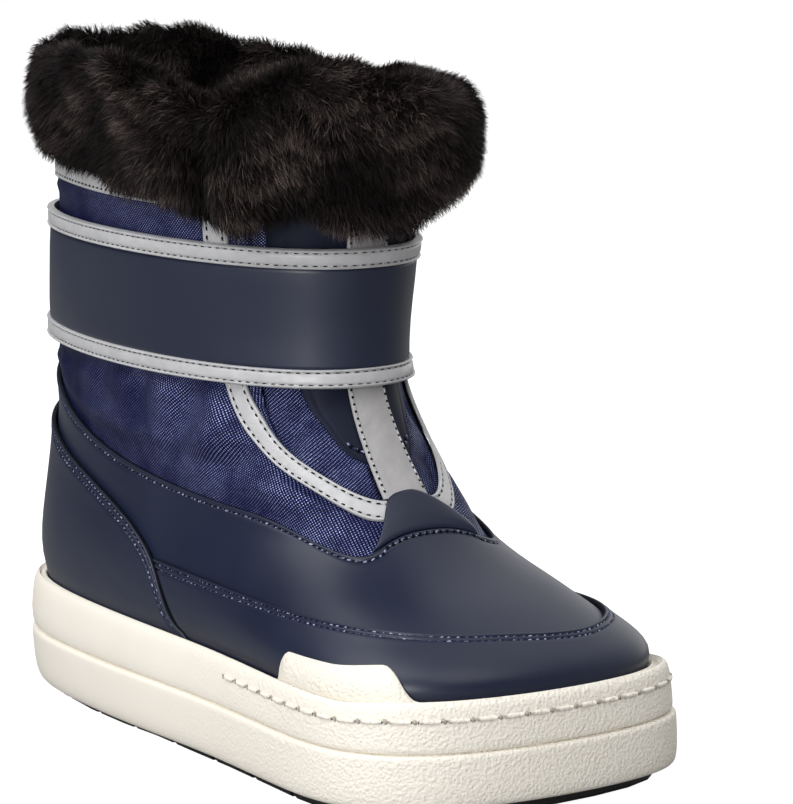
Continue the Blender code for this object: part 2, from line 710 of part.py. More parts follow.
def make_fur(finish, collection):
    """A cuff folded over the collar, with rows of hanging locks as ridges of its own surface."""
    angle = np.linspace(0, 2 * np.pi, FUR_AROUND, endpoint=False)
    random = np.random.default_rng(11)
    rings = []
    for row, (out_share, share) in enumerate(FUR_OUTSIDE):
        turn, height, out = fur_section(angle, share, out_share, False)
        lock = np.abs(np.sin(angle * FUR_AROUND / 6 + row * 1.7)) + 0.5 * random.random(len(angle))
        out = out + LOCK_DEPTH * (lock - 0.75)
        height = height - LOCK_DEPTH * 1.2 * (lock - 0.5) * (row == 0)
        rings.append(upper_point(turn, level_at(turn, height), out))
    for row, (out_share, share) in enumerate(FUR_INSIDE):
        turn, height, out = fur_section(angle, share, out_share, True)
        out = out - LOCK_DEPTH * 0.5 * np.abs(np.sin(angle * FUR_AROUND / 6 + row * 1.3))
        rings.append(upper_point(turn, level_at(turn, height), out))
    edge_height = upper_point(angle, TONGUE_TOP_LEVEL)[:, 2] + 2 * GAP
    inner_low = fur_section(angle, FUR_INSIDE[-1, 1] - 0.04, 0.0, True)
    clear = 3 * GAP + TAPE
    rings.append(upper_point(angle, level_at(angle, inner_low[1]), inner_low[2] - GAP))
    rings.append(upper_point(angle, level_at(angle, edge_height), inner_low[2] - GAP))
    rings.append(upper_point(angle, level_at(angle, edge_height), clear))
    outer_low = fur_section(angle, 0.05, 0.0, False)
    rings.append(upper_point(angle, level_at(angle, outer_low[1]), clear))
    rings = np.array(rings)
    faces = grid_faces(len(rings), FUR_AROUND, wrap_rows=True, wrap_columns=True)
    add_mesh("fur_collar", rings, faces, finish, collection)


def build():
    clear_scene()
    boot = bpy.data.collections.new("apres_ski_boot")
    cutters = bpy.data.collections.new("cutters")
    bpy.context.scene.collection.children.link(boot)
    bpy.context.scene.collection.children.link(cutters)
    navy = material("coated_navy", NAVY, 0.45)
    nylon = material("woven_nylon", NYLON, 0.70)
    grey = material("grey_tape", GREY_TAPE, 0.40)
    cream = material("cream_rubber", CREAM, 0.65)
    black = material("black_rubber", BLACK, 0.60)
    fur = material("black_fur", FUR_BLACK, 0.90)
    felt = material("felt", FELT, 0.95)
    make_outsole(black, black, boot, cutters)
    make_cupsole(cream, boot)
    make_insole(felt, boot)
    make_upper(nylon, boot, cutters)
    make_lower_panels(navy, boot)
    make_throat_tape(grey, boot)
    make_tab(navy, boot)
    make_tongue(nylon, navy, grey, boot)
    make_strap(navy, grey, boot)
    make_collar_tape(grey, boot)
    make_fur(fur, boot)


build()
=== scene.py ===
# Looks of the apres-ski boot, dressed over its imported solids. In metres, +X to the toe,
# +Y to the inner side, +Z up.
import math

import bpy
import numpy as np
from mathutils import Matrix


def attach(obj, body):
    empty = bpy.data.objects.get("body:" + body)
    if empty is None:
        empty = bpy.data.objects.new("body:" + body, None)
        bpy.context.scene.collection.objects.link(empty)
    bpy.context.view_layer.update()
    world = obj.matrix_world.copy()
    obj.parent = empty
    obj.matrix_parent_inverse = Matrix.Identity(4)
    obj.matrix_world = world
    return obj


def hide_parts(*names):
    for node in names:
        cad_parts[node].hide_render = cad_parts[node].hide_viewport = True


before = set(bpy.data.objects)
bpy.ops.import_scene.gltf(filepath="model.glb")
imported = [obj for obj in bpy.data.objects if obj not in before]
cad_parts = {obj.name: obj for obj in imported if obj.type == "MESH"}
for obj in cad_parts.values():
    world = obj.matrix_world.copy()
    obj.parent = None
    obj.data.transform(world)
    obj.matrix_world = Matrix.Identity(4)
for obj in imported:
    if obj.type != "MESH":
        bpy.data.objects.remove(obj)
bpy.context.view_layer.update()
print("solids loaded:", len(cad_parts))

# Sizes that every piece shares, the same as in the solids
boot = {
    "length": 0.285, "ball": 0.121, "heelBack": 0.040, "soleTop": 0.0355, "collar": 0.212,
    "toeBend": 0.0037, "bendFrom": 0.35, "ovalPower": 0.86,
}
layer = {"gap": 0.0003, "wall": 0.0025, "panel": 0.0013, "tape": 0.0009, "tongue": 0.0026}
overVamp = 3 * layer["gap"] + layer["panel"]
onNylon = layer["gap"]
behind = -layer["wall"] - 2 * layer["gap"]
upperLevels = {"foot": -0.93, "top": 8.5}
strap = {
    "start": -110.0, "riseFrom": 232.0, "riseTo": 246.0, "end": 285.0, "low": 0.120, "high": 0.165,
    "tapeWidth": 0.0062, "tilt": 0.035, "thick": 0.0018, "tapeThick": 0.0022, "fullness": 1.14, "wave": 0.00035,
}
collarBand = {
    "below": 0.0380, "width": 0.0075, "rise": 0.0036, "riseFrom": 115.0, "riseOver": 70.0, "stop": 5.5,
}

# Degrees from the back, then the outer and the inner half width as shares of the ball width
soleOutline = np.array([
    (0, 0.000, 0.000), (20, 0.177, 0.177), (40, 0.313, 0.313), (60, 0.378, 0.378), (80, 0.413, 0.380),
    (100, 0.443, 0.390), (120, 0.495, 0.456), (140, 0.506, 0.486), (155, 0.412, 0.414), (168, 0.237, 0.244),
    (180, 0.000, 0.000),
])

# Level, back x and height, front x and height, half width, roundness
levels = np.array([
    (-1, 0.0400, -0.0560, 0.9640, -0.0780, 0.404, 0.00), (0, 0.0393, 0.0150, 0.9660, -0.0150, 0.405, 0.00),
    (1, 0.0300, 0.0820, 0.9690, 0.0220, 0.422, 0.00), (2, 0.0330, 0.1730, 0.9390, 0.0640, 0.396, 0.20),
    (3, 0.0400, 0.2750, 0.8700, 0.1190, 0.350, 0.40), (4, 0.0430, 0.3860, 0.7810, 0.1890, 0.312, 0.60),
    (5, 0.0440, 0.4900, 0.7020, 0.3200, 0.306, 0.80), (6, 0.0560, 0.5920, 0.6520, 0.4670, 0.308, 1.00),
    (7, 0.0730, 0.7050, 0.6520, 0.6350, 0.329, 1.00), (8, 0.0870, 0.8470, 0.6730, 0.8190, 0.353, 1.00),
    (9, 0.0965, 1.0000, 0.6890, 1.0000, 0.374, 1.00), (10, 0.1050, 1.1600, 0.7020, 1.1800, 0.390, 1.00),
])

# Edges of the panels: degrees from the back, level
panelTop = np.array([
    (0, 4.65), (25, 4.45), (42, 4.18), (60, 3.92), (90, 3.87), (114, 4.05), (131, 4.12), (146, 3.94),
    (154, 3.91), (160, 4.02), (168, 4.20), (180, 4.30),
])
randTop = np.array([(60, 2.08), (84, 2.12), (112, 2.22), (138, 2.30), (160, 2.31), (180, 2.24)])
counterTop = np.array([
    (0, 3.85), (20, 3.66), (40, 3.42), (52, 3.26), (64, 3.08), (74, 2.82), (80, 2.52), (84, 2.10),
    (86.5, 1.40), (89, 0.62), (91.5, 0.30), (93.5, -0.60),
])

# Half of the throat's tape from the front up: inner edge and outer edge, each degrees from the front and level
throatTape = np.array([
    (0, 4.70, 0, 4.44), (10, 4.68, 12, 4.45), (19, 4.78, 20, 4.50), (28, 4.95, 32, 4.72),
    (38, 5.20, 42, 4.92), (43, 5.52, 48, 5.16), (46, 5.80, 52, 5.47), (48, 6.40, 55, 6.20),
    (50, 7.30, 58, 7.30), (51.5, 8.30, 59.5, 8.30),
])


def curveThrough(knots, values, at, closed=False):
    # A cubic piece between each two knots, with equal slope and bend where they meet
    knots, values, at = np.asarray(knots, float), np.asarray(values, float), np.asarray(at, float)
    steps = np.diff(knots)
    count = len(knots) - 1 if closed else len(knots)
    matrix = np.zeros((count, count))
    right = np.zeros((count,) + values.shape[1:])
    for row in range(count):
        if not closed and row in (0, count - 1):
            matrix[row, row] = 1.0
            continue
        before, after = steps[row - 1], steps[row]
        following = (row + 1) % count
        matrix[row, row - 1] += before
        matrix[row, row] += 2 * (before + after)
        matrix[row, following] += after
        right[row] = 6 * ((values[following] - values[row]) / after - (values[row] - values[row - 1]) / before)
    bends = np.linalg.solve(matrix, right)
    if closed:
        bends = np.concatenate([bends, bends[:1]])
    index = np.clip(np.searchsorted(knots, at, side="right") - 1, 0, len(knots) - 2)
    step = knots[index + 1] - knots[index]
    share = (at - knots[index]) / step
    if values.ndim > 1:
        step, share = step[..., None], share[..., None]
    straight = values[index] * (1 - share) + values[index + 1] * share
    first, second = (1 - share) ** 3 - (1 - share), share ** 3 - share
    return straight + step * step / 6 * (first * bends[index] + second * bends[index + 1])


def ease(share):
    # 3 s^2 - 2 s^3 between 0 and 1
    share = np.clip(share, 0.0, 1.0)
    return share * share * (3 - 2 * share)


def along(angle):
    # 0 at the back, 1 at the toe: (1 - cos a) / 2
    return (1 - np.cos(angle)) / 2


def toeBend(share):
    # The toe's curve to the inner side: bend x ((share - from) / (1 - from))^2
    return boot["toeBend"] * np.clip((share - boot["bendFrom"]) / (1 - boot["bendFrom"]), 0, 1) ** 2


def degreesFromBack(angle):
    # 0 at the back to 180 at the toe, the same on both sides
    return np.abs((np.degrees(angle) + 180) % 360 - 180)


def bothSides(table, angle):
    # A table in degrees from the back to the toe, read the same on both sides and rounded at its corners
    degrees = np.concatenate([table[:, 0], 360 - table[::-1, 0][1:]])
    values = np.concatenate([table[:, 1], table[::-1, 1][1:]])
    return curveThrough(degrees, values, np.degrees(angle) % 360, closed=True)


def outlineShare(angle):
    # The sole's side as a share of the ball width, less than 0 on the outer side, through soleOutline
    degrees = np.concatenate([soleOutline[:, 0], 360 - soleOutline[::-1, 0][1:]])
    shares = np.concatenate([-soleOutline[:, 1], soleOutline[::-1, 2][1:]])
    return curveThrough(degrees, shares, np.degrees(angle) % 360, closed=True)


def soleRing(angle, inset, height):
    # The sole's outline (along, outline share x ball width), moved inwards along its own normal by inset
    def place(turn):
        share = along(turn)
        return -boot["heelBack"] + boot["length"] * share, boot["ball"] * outlineShare(turn) + toeBend(share)

    x, y = place(angle)
    ahead, behind = place(angle + 1e-3), place(angle - 1e-3)
    dx, dy = ahead[0] - behind[0], ahead[1] - behind[1]
    length = np.hypot(dx, dy)
    return np.stack([x - dy / length * inset, y + dx / length * inset, np.broadcast_to(height, x.shape)], -1)


def onUpper(angle, level):
    # Tilted rings: x and z run from the ring's back to its front by (1 - cos a) / 2, and y is the half width
    # times a blend of the sole's outline and the oval |sin a|^0.86
    angle, level = np.broadcast_arrays(np.asarray(angle, float), np.asarray(level, float))
    row = curveThrough(levels[:, 0], levels[:, 1:], level)
    rise = boot["collar"] - boot["soleTop"]
    share = along(angle)
    x = -boot["heelBack"] + boot["length"] * (row[..., 0] + (row[..., 2] - row[..., 0]) * share)
    z = boot["soleTop"] + rise * (row[..., 1] + (row[..., 3] - row[..., 1]) * share)
    turn, roundness = np.sin(angle), row[..., 5]
    oval = -np.sign(turn) * np.abs(turn) ** boot["ovalPower"]
    y = boot["ball"] * row[..., 4] * (2 * outlineShare(angle) * (1 - roundness) + oval * roundness)
    return np.stack([x, y + toeBend(share) * (1 - roundness), z], -1)


def slopes(angle, level):
    # Change of place per radian and per level, and the outward normal as their cross product
    step = 2e-3
    across = (onUpper(angle + step, level) - onUpper(angle - step, level)) / (2 * step)
    upward = (onUpper(angle, level + step) - onUpper(angle, level - step)) / (2 * step)
    normal = np.cross(across, upward)
    return across, upward, normal / np.linalg.norm(normal, axis=-1, keepdims=True)


def laid(angle, level, out=0.0):
    # surface(a, l) + outward normal x out
    angle, level, out = np.broadcast_arrays(np.asarray(angle, float), np.asarray(level, float), out)
    return onUpper(angle, level) + slopes(angle, level)[2] * out[..., None]


def levelAt(angle, height, tilt=0.0):
    # Newton's steps on z(level) + tilt x(level) = height
    level = 9 * (np.asarray(height, float) - boot["soleTop"]) / (boot["collar"] - boot["soleTop"])
    angle, level = np.broadcast_arrays(np.asarray(angle, float), level)
    for newtonStep in range(6):
        level = np.clip(level, -0.99, 9.98)
        here, ahead = onUpper(angle, level), onUpper(angle, level + 0.01)
        reached = here[..., 2] + tilt * here[..., 0]
        level = level + (height - reached) / ((ahead[..., 2] + tilt * ahead[..., 0] - reached) / 0.01)
    return np.clip(level, -0.99, 9.98)


def metresPerLevel(angle, level):
    # Length of the change of place per level
    return np.linalg.norm(slopes(angle, level)[1], axis=-1)


def evenSpacing(angle, level, count):
    # The same path over the upper with its points at equal distances
    path = onUpper(angle, level)
    run = np.concatenate([[0], np.cumsum(np.linalg.norm(np.diff(path, axis=0), axis=1))])
    at = np.linspace(0, run[-1], count)
    return np.interp(at, run, angle), np.interp(at, run, level)


def stepAside(angle, level, distance):
    # From a path over the surface, go sideways by distance: solve [Pa Pl](da, dl) = side x distance
    across, upward, normal = slopes(angle, level)
    path = onUpper(angle, level)
    forward = np.gradient(path, axis=0)
    forward /= np.linalg.norm(forward, axis=-1, keepdims=True)
    side = np.cross(normal, forward)
    aa, al, ll = (across * across).sum(-1), (across * upward).sum(-1), (upward * upward).sum(-1)
    ra, rl = (across * side).sum(-1), (upward * side).sum(-1)
    scale = aa * ll - al * al
    turn, climb = (ra * ll - rl * al) / scale, (rl * aa - ra * al) / scale
    distance = np.asarray(distance)[None]
    return angle[:, None] + turn[:, None] * distance, level[:, None] + climb[:, None] * distance


def waves(seed, a, b, count=7, reach=(2, 6), rise=(1, 4)):
    # A sum of sines round a (in radians, closed) and along b (0 to 1), about -1 to 1
    random = np.random.default_rng(seed)
    total = 0.0
    for wave in range(count):
        n = random.integers(reach[0], reach[1] + 1)
        m = random.uniform(rise[0], rise[1]) * random.choice([-1, 1])
        strength, phase = random.uniform(0.5, 1), random.uniform(0, 2 * np.pi)
        total = total + strength * np.sin(n * a + 2 * np.pi * m * b + phase)
    return total / (0.5 * count)


def add(tree, kind, values=None, **settings):
    # A node with its settings, then its inputs, each a plain value or a socket to link
    node = tree.nodes.new(kind)
    for key, value in settings.items():
        setattr(node, key, value)
    for key, value in (values or {}).items():
        if isinstance(value, bpy.types.NodeSocket):
            tree.links.new(value, node.inputs[key])
        else:
            node.inputs[key].default_value = value
    return node


def maths(tree, operation, *inputs):
    # A Math node on one, two or three inputs
    return add(tree, "ShaderNodeMath", dict(enumerate(inputs)), operation=operation).outputs[0]


def mixColour(tree, share, first, second):
    # first x (1 - share) + second x share, each a colour or a socket
    node = add(tree, "ShaderNodeMix", {0: share}, data_type="RGBA")
    for index, value in ((6, first), (7, second)):
        if isinstance(value, bpy.types.NodeSocket):
            tree.links.new(value, node.inputs[index])
        else:
            node.inputs[index].default_value = tuple(value) + (1.0,)
    return node.outputs[2]


def rangeOf(tree, value, low, high, newLow=0.0, newHigh=1.0):
    # newLow to newHigh in a straight line while the value runs from low to high, and held beyond
    ends = {"Value": value, "From Min": low, "From Max": high, "To Min": newLow, "To Max": newHigh}
    return add(tree, "ShaderNodeMapRange", ends).outputs[0]


def newGroup(name, inputs, outputs):
    # A node group from (label, kind, value) of each input and (label, kind) of each output
    group = bpy.data.node_groups.new(name, "ShaderNodeTree")
    for label, kind, value in inputs:
        socket = group.interface.new_socket(label, in_out="INPUT", socket_type=kind)
        if value is not None:
            socket.default_value = value
    for label, kind in outputs:
        group.interface.new_socket(label, in_out="OUTPUT", socket_type=kind)
    return group, group.nodes.new("NodeGroupInput"), group.nodes.new("NodeGroupOutput")


def grainGroup():
    # Fine grain and broad unevenness of a skin, from two sizes of noise
    sizes = [("Grain", "NodeSocketFloat", 1500.0), ("Broad", "NodeSocketFloat", 60.0)]
    outputs = [("Height", "NodeSocketFloat"), ("Patch", "NodeSocketFloat")]
    group, start, end = newGroup("skinGrain", [("Place", "NodeSocketVector", None)] + sizes, outputs)
    place, grain, broad = (start.outputs[label] for label in ("Place", "Grain", "Broad"))
    fine = add(group, "ShaderNodeTexNoise", {"Vector": place, "Scale": grain, "Detail": 3.0, "Roughness": 0.6})
    patch = add(group, "ShaderNodeTexNoise", {"Vector": place, "Scale": broad, "Detail": 2.0})
    group.links.new(fine.outputs[0], end.inputs["Height"])
    group.links.new(patch.outputs[0], end.inputs["Patch"])
    return group


skinGrain = grainGroup()


def newMaterial(name, colour, roughness, **plain):
    # A material of one Principled shader, with further plain values by their sockets' names
    made = bpy.data.materials.new(name)
    made.use_nodes = True
    shader = made.node_tree.nodes["Principled BSDF"]
    shader.inputs["Base Color"].default_value = tuple(colour) + (1.0,)
    shader.inputs["Roughness"].default_value = roughness
    for key, value in plain.items():
        shader.inputs[key].default_value = value
    made.diffuse_color = tuple(colour) + (1.0,)
    return made, made.node_tree, shader


skinNoise = {"low": 0.3, "high": 0.7, "depth": 0.0002, "swell": 0.6}


def skinMaterial(name, look):
    # Base colour drifts between two tones, roughness with it, and fine grain gives the bump
    made, tree, shader = newMaterial(name, look["dark"], look["roughness"], **look.get("plain", {}))
    place = add(tree, "ShaderNodeTexCoord").outputs["Object"]
    grain = add(tree, "ShaderNodeGroup", {}, node_tree=skinGrain)
    tree.links.new(place, grain.inputs["Place"])
    grain.inputs["Grain"].default_value = look["grain"]
    grain.inputs["Broad"].default_value = look["broad"]
    patch, ends = grain.outputs["Patch"], (skinNoise["low"], skinNoise["high"])
    rough = (look["roughness"] - look["drift"], look["roughness"] + look["drift"])
    colour = mixColour(tree, rangeOf(tree, patch, *ends), look["dark"], look["light"])
    tree.links.new(colour, shader.inputs["Base Color"])
    tree.links.new(rangeOf(tree, patch, *ends, *rough), shader.inputs["Roughness"])
    fine = {"Strength": look["bump"], "Distance": skinNoise["depth"], "Height": grain.outputs["Height"]}
    bump = add(tree, "ShaderNodeBump", fine)
    if "swell" in look:
        broad = {"Strength": skinNoise["swell"], "Distance": look["swell"], "Height": patch}
        tree.links.new(add(tree, "ShaderNodeBump", broad).outputs[0], bump.inputs["Normal"])
    tree.links.new(bump.outputs[0], shader.inputs["Normal"])
    return made


looks = {
    "coatedNavy": {
        "dark": (0.0060, 0.0100, 0.0290), "light": (0.0084, 0.0134, 0.0360), "roughness": 0.40, "drift": 0.04,
        "grain": 1800.0, "broad": 22.0, "bump": 0.10, "plain": {"Specular IOR Level": 0.44},
    },
    # A darker, matter copy of the coated navy for the tongue panel under the strap: painted shade
    "shadedMattNavy": {
        "dark": (0.0060, 0.0086, 0.0210), "light": (0.0084, 0.0112, 0.0265), "roughness": 0.55, "drift": 0.04,
        "grain": 1800.0, "broad": 30.0, "bump": 0.10, "plain": {"Specular IOR Level": 0.14},
    },
    # A darker copy of the grey tape for the strip on the tongue: painted shade
    "shadedStripTape": {
        "dark": (0.35, 0.34, 0.345), "light": (0.39, 0.38, 0.385), "roughness": 0.42, "drift": 0.05,
        "grain": 2600.0, "broad": 200.0, "bump": 0.08, "swell": 0.0008,
    },
    "greyTape": {
        "dark": (0.43, 0.43, 0.44), "light": (0.49, 0.49, 0.50), "roughness": 0.36, "drift": 0.06,
        "grain": 2600.0, "broad": 260.0, "bump": 0.08, "swell": 0.0007,
    },
    "darkFelt": {
        "dark": (0.014, 0.012, 0.012), "light": (0.032, 0.028, 0.028), "roughness": 0.95, "drift": 0.03,
        "grain": 900.0, "broad": 120.0, "bump": 0.6,
    },
    # Near black capsules laid at the stitch holes: painted shade in the holes
    "stitchHoleShade": {
        "dark": (0.0015, 0.0015, 0.0025), "light": (0.003, 0.003, 0.005), "roughness": 0.8, "drift": 0.05,
        "grain": 2000.0, "broad": 200.0, "bump": 0.1, "plain": {"Specular IOR Level": 0.1},
    },
    # Near black on the panels' cut edges: the edge's dark colour and a painted shadow line along it
    "cutEdgeShadow": {
        "dark": (0.0025, 0.0028, 0.0060), "light": (0.006, 0.007, 0.013), "roughness": 0.7, "drift": 0.08,
        "grain": 1800.0, "broad": 300.0, "bump": 0.3, "plain": {"Specular IOR Level": 0.15},
    },
    # Darker cream capsules sunk in the moulded notches: painted shade in the notches
    "creamNotchShade": {
        "dark": (0.36, 0.325, 0.275), "light": (0.46, 0.42, 0.36), "roughness": 0.7, "drift": 0.05,
        "grain": 1200.0, "broad": 300.0, "bump": 0.2,
    },
}
coatedNavy, shadedMattNavy, shadedStripTape, greyTape, darkFelt, stitchHoleShade, cutEdgeShadow, creamNotchShade = (
    skinMaterial(name, look) for name, look in looks.items()
)


# The glint colour is a painted highlight in the base colour and also the metal's tint; the back and front shine
# shares paint shade towards the back and highlight towards the front
nylonLook = {
    "wide": 1.25, "high": 1.00, "gap": (0.0010, 0.0016, 0.016), "thread": (0.0030, 0.0046, 0.050),
    "metalAndPaintedGlint": (0.390, 0.445, 0.830), "tint": (0.74, 0.80, 1.0, 1.0), "back": 0.018, "front": 0.080,
    "paintedShadeBack": 0.16, "paintedHighlightFront": 1.45, "leastThread": 0.45, "leastPaintedPatch": 0.25, "patch": 70.0,
}


def nylonMaterial():
    # Plain weave on the cloth's own millimetre map: sin(u) sin(v) is one thread over the next, |sin sin| its
    # crown. The threads on top shine: a painted highlight in the base colour and real metal and specular shine,
    # less towards the back by painted shade, each by a chance of its own and by a broad patch of painted light
    look = nylonLook
    made, tree, shader = newMaterial("wovenNylon", look["thread"], 0.5, **{"Specular Tint": look["tint"]})
    cloth = add(tree, "ShaderNodeUVMap", uv_map="cloth").outputs[0]
    place = add(tree, "ShaderNodeTexCoord").outputs["Object"]
    apart = add(tree, "ShaderNodeSeparateXYZ", {0: cloth})
    across, upward = (
        maths(tree, "SINE", maths(tree, "MULTIPLY", apart.outputs[axis], 2 * math.pi / look[size]))
        for axis, size in enumerate(("wide", "high"))
    )
    weave = maths(tree, "MULTIPLY", across, upward)
    crown = maths(tree, "ABSOLUTE", weave)
    perCell = {0: cloth, 1: (2 / look["wide"], 2 / look["high"], 1.0)}
    cell = add(tree, "ShaderNodeVectorMath", perCell, operation="MULTIPLY").outputs[0]
    cell = add(tree, "ShaderNodeVectorMath", {0: cell}, operation="FLOOR").outputs[0]
    chance = add(tree, "ShaderNodeTexWhiteNoise", {0: cell}, noise_dimensions="2D").outputs[0]
    patch = add(tree, "ShaderNodeTexNoise", {"Vector": place, "Scale": look["patch"], "Detail": 3.0}).outputs[0]
    length = add(tree, "ShaderNodeSeparateXYZ", {0: place}).outputs[0]
    # Mask of the painted highlight on the threads on top, also used for their real metal and specular shine
    realAndPaintedShine = rangeOf(tree, weave, 0.25, 0.95)
    for value, low, high, least, most in (
        (chance, 0.0, 1.0, look["leastThread"], 1.0),
        (patch, 0.35, 0.65, look["leastPaintedPatch"], 1.0),
        # Painted shade towards the back, painted highlight towards the front
        (length, look["back"], look["front"], look["paintedShadeBack"], look["paintedHighlightFront"]),
    ):
        realAndPaintedShine = maths(tree, "MULTIPLY", realAndPaintedShine, rangeOf(tree, value, low, high, least, most))
    body = mixColour(tree, rangeOf(tree, crown, 0.12, 0.75), look["gap"], look["thread"])
    # The glint mixed into the base colour is a painted highlight
    tree.links.new(mixColour(tree, realAndPaintedShine, body, look["metalAndPaintedGlint"]), shader.inputs["Base Color"])
    tree.links.new(rangeOf(tree, realAndPaintedShine, 0.0, 0.8, 0.08, 1.0), shader.inputs["Specular IOR Level"])
    tree.links.new(rangeOf(tree, realAndPaintedShine, 0.0, 1.6, 0.0, 0.95), shader.inputs["Metallic"])
    tree.links.new(rangeOf(tree, crown, 0.0, 1.0, 0.60, 0.32), shader.inputs["Roughness"])
    bump = add(tree, "ShaderNodeBump", {"Strength": 0.5, "Distance": 0.0002, "Height": crown})
    tree.links.new(bump.outputs[0], shader.inputs["Normal"])
    return made


creamLook = {
    "low": (0.79, 0.742, 0.655), "high": (0.85, 0.808, 0.725), "from": 0.09, "to": 0.22, "heel": 0.03,
    "cells": 1050.0, "fine": 900.0, "broad": 30.0, "depth": 0.00065,
}


def creamMaterial():
    # Pebbles from two noises, faint at the heel and full at the toe, and a slight warm drift
    look = creamLook
    made, tree, shader = newMaterial("creamRubber", look["high"], 0.55)
    place = add(tree, "ShaderNodeTexCoord").outputs["Object"]
    length = add(tree, "ShaderNodeSeparateXYZ", {0: place}).outputs[0]
    toe = rangeOf(tree, length, look["from"], look["to"], look["heel"], 1.0)
    cells = {"Vector": place, "Scale": look["cells"], "Randomness": 1.0}
    pebbles = add(tree, "ShaderNodeTexVoronoi", cells, feature="SMOOTH_F1").outputs["Distance"]
    small = {"Vector": place, "Scale": look["fine"], "Detail": 3.0, "Roughness": 0.55}
    fine = add(tree, "ShaderNodeTexNoise", small)
    broad = add(tree, "ShaderNodeTexNoise", {"Vector": place, "Scale": look["broad"], "Detail": 2.0})
    height = maths(tree, "MULTIPLY", maths(tree, "MULTIPLY_ADD", pebbles, 0.6, fine.outputs[0]), toe)
    tree.links.new(mixColour(tree, broad.outputs[0], look["low"], look["high"]), shader.inputs["Base Color"])
    bump = add(tree, "ShaderNodeBump", {"Strength": 0.8, "Distance": look["depth"], "Height": height})
    tree.links.new(bump.outputs[0], shader.inputs["Normal"])
    return made


def threadMaterial(name, dark, light, share):
    # Twisted thread: pale flecks of painted highlight where a fine noise passes 1 - share
    made, tree, shader = newMaterial(name, dark, 0.55)
    place = add(tree, "ShaderNodeTexCoord").outputs["Object"]
    glintFleck = add(tree, "ShaderNodeTexNoise", {"Vector": place, "Scale": 1100.0, "Detail": 1.0}).outputs[0]
    colour = mixColour(tree, rangeOf(tree, glintFleck, 1 - share, 1.08 - share), dark, light)
    tree.links.new(colour, shader.inputs["Base Color"])
    return made


def furMaterial():
    # Brown black to ash, by the tone stored on each hair, which holds painted shade and painted highlight
    look = {"plain": (0.006, 0.005, 0.005), "dark": (0.0022, 0.0012, 0.0011), "ashAndPaintedSheen": (0.200, 0.155, 0.143)}
    made, tree, shader = newMaterial("blackFur", look["plain"], 0.55, **{"Specular IOR Level": 0.10})
    toneWithPaintedLight = add(tree, "ShaderNodeAttribute", attribute_name="toneWithPaintedLight").outputs["Fac"]
    tree.links.new(mixColour(tree, toneWithPaintedLight, look["dark"], look["ashAndPaintedSheen"]), shader.inputs["Base Color"])
    return made


wovenNylon = nylonMaterial()
creamRubber = creamMaterial()
navyThread = threadMaterial("navyThread", (0.007, 0.010, 0.050), (0.30, 0.34, 0.49), 0.46)
greyThread = threadMaterial("greyThread", (0.34, 0.34, 0.35), (0.60, 0.60, 0.62), 0.5)
blackFur = furMaterial()
print("materials made:", len(bpy.data.materials))


def quadsOf(columns, rows, closeColumns=False, closeRows=False, start=0):
    # The four corners of each cell of a grid whose points are numbered column by column
    i = np.arange(columns if closeColumns else columns - 1)[:, None]
    j = np.arange(rows if closeRows else rows - 1)[None]
    nextI, nextJ = (i + 1) % columns, (j + 1) % rows
    corners = [i * rows + j, nextI * rows + j, nextI * rows + nextJ, i * rows + nextJ]
    return start + np.stack(corners, -1).reshape(-1, 4)


def makePiece(name, points, faceArrays, materials, nodes, uv=None, toneWithPaintedLight=None, indices=None, orient=True):
    # Faces come as arrays of equal corners. The whole is turned so that its signed volume is positive
    points = np.asarray(points, float).reshape(-1, 3)
    if orient:
        volume = 0.0
        for faces in faceArrays:
            for k in range(1, faces.shape[1] - 1):
                first, second, third = (points[faces[:, corner]] for corner in (0, k, k + 1))
                volume += (first * np.cross(second, third)).sum()
        if volume < 0:
            faceArrays = [f[:, ::-1] for f in faceArrays]
    mesh = bpy.data.meshes.new(name)
    corners = np.concatenate([f.reshape(-1) for f in faceArrays]).astype(np.int32)
    sizes = np.concatenate([np.full(len(f), f.shape[1]) for f in faceArrays]).astype(np.int32)
    mesh.vertices.add(len(points))
    mesh.vertices.foreach_set("co", points.astype(np.float32).reshape(-1))
    mesh.loops.add(len(corners))
    mesh.loops.foreach_set("vertex_index", corners)
    mesh.polygons.add(len(sizes))
    mesh.polygons.foreach_set("loop_start", np.concatenate([[0], np.cumsum(sizes)[:-1]]).astype(np.int32))
    if indices is not None:
        mesh.polygons.foreach_set("material_index", indices.astype(np.int32))
    mesh.update(calc_edges=True)
    if uv is not None:
        flat = np.asarray(uv, np.float32).reshape(-1, 2)[corners].reshape(-1)
        mesh.uv_layers.new(name="cloth").data.foreach_set("uv", flat)
    if toneWithPaintedLight is not None:
        mesh.attributes.new("toneWithPaintedLight", "FLOAT", "POINT").data.foreach_set("value", np.asarray(toneWithPaintedLight, np.float32))
    mesh.validate()
    mesh.shade_smooth()
    for material in materials:
        mesh.materials.append(material)
    piece = bpy.data.objects.new(name, mesh)
    bpy.context.scene.collection.objects.link(piece)
    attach(piece, "root")
    if nodes:
        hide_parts(*nodes)
    return piece


def keepEdges(piece, degrees):
    # Edges that turn by more than this stay crisp
    piece.data.set_sharp_from_angle(angle=math.radians(degrees))


def clothMap(grid):
    # Millimetres run along the rows and up the columns, so that the weave keeps its size
    across = np.linalg.norm(np.diff(grid, axis=0), axis=-1)
    upward = np.linalg.norm(np.diff(grid, axis=1), axis=-1)
    u = np.concatenate([np.zeros((1, grid.shape[1])), np.cumsum(across, axis=0)])
    v = np.concatenate([np.zeros((grid.shape[0], 1)), np.cumsum(upward, axis=1)], axis=1)
    middle = grid.shape[0] // 2
    return np.stack([u - u[middle:middle + 1], np.broadcast_to(v[middle:middle + 1], v.shape)], -1) * 1000


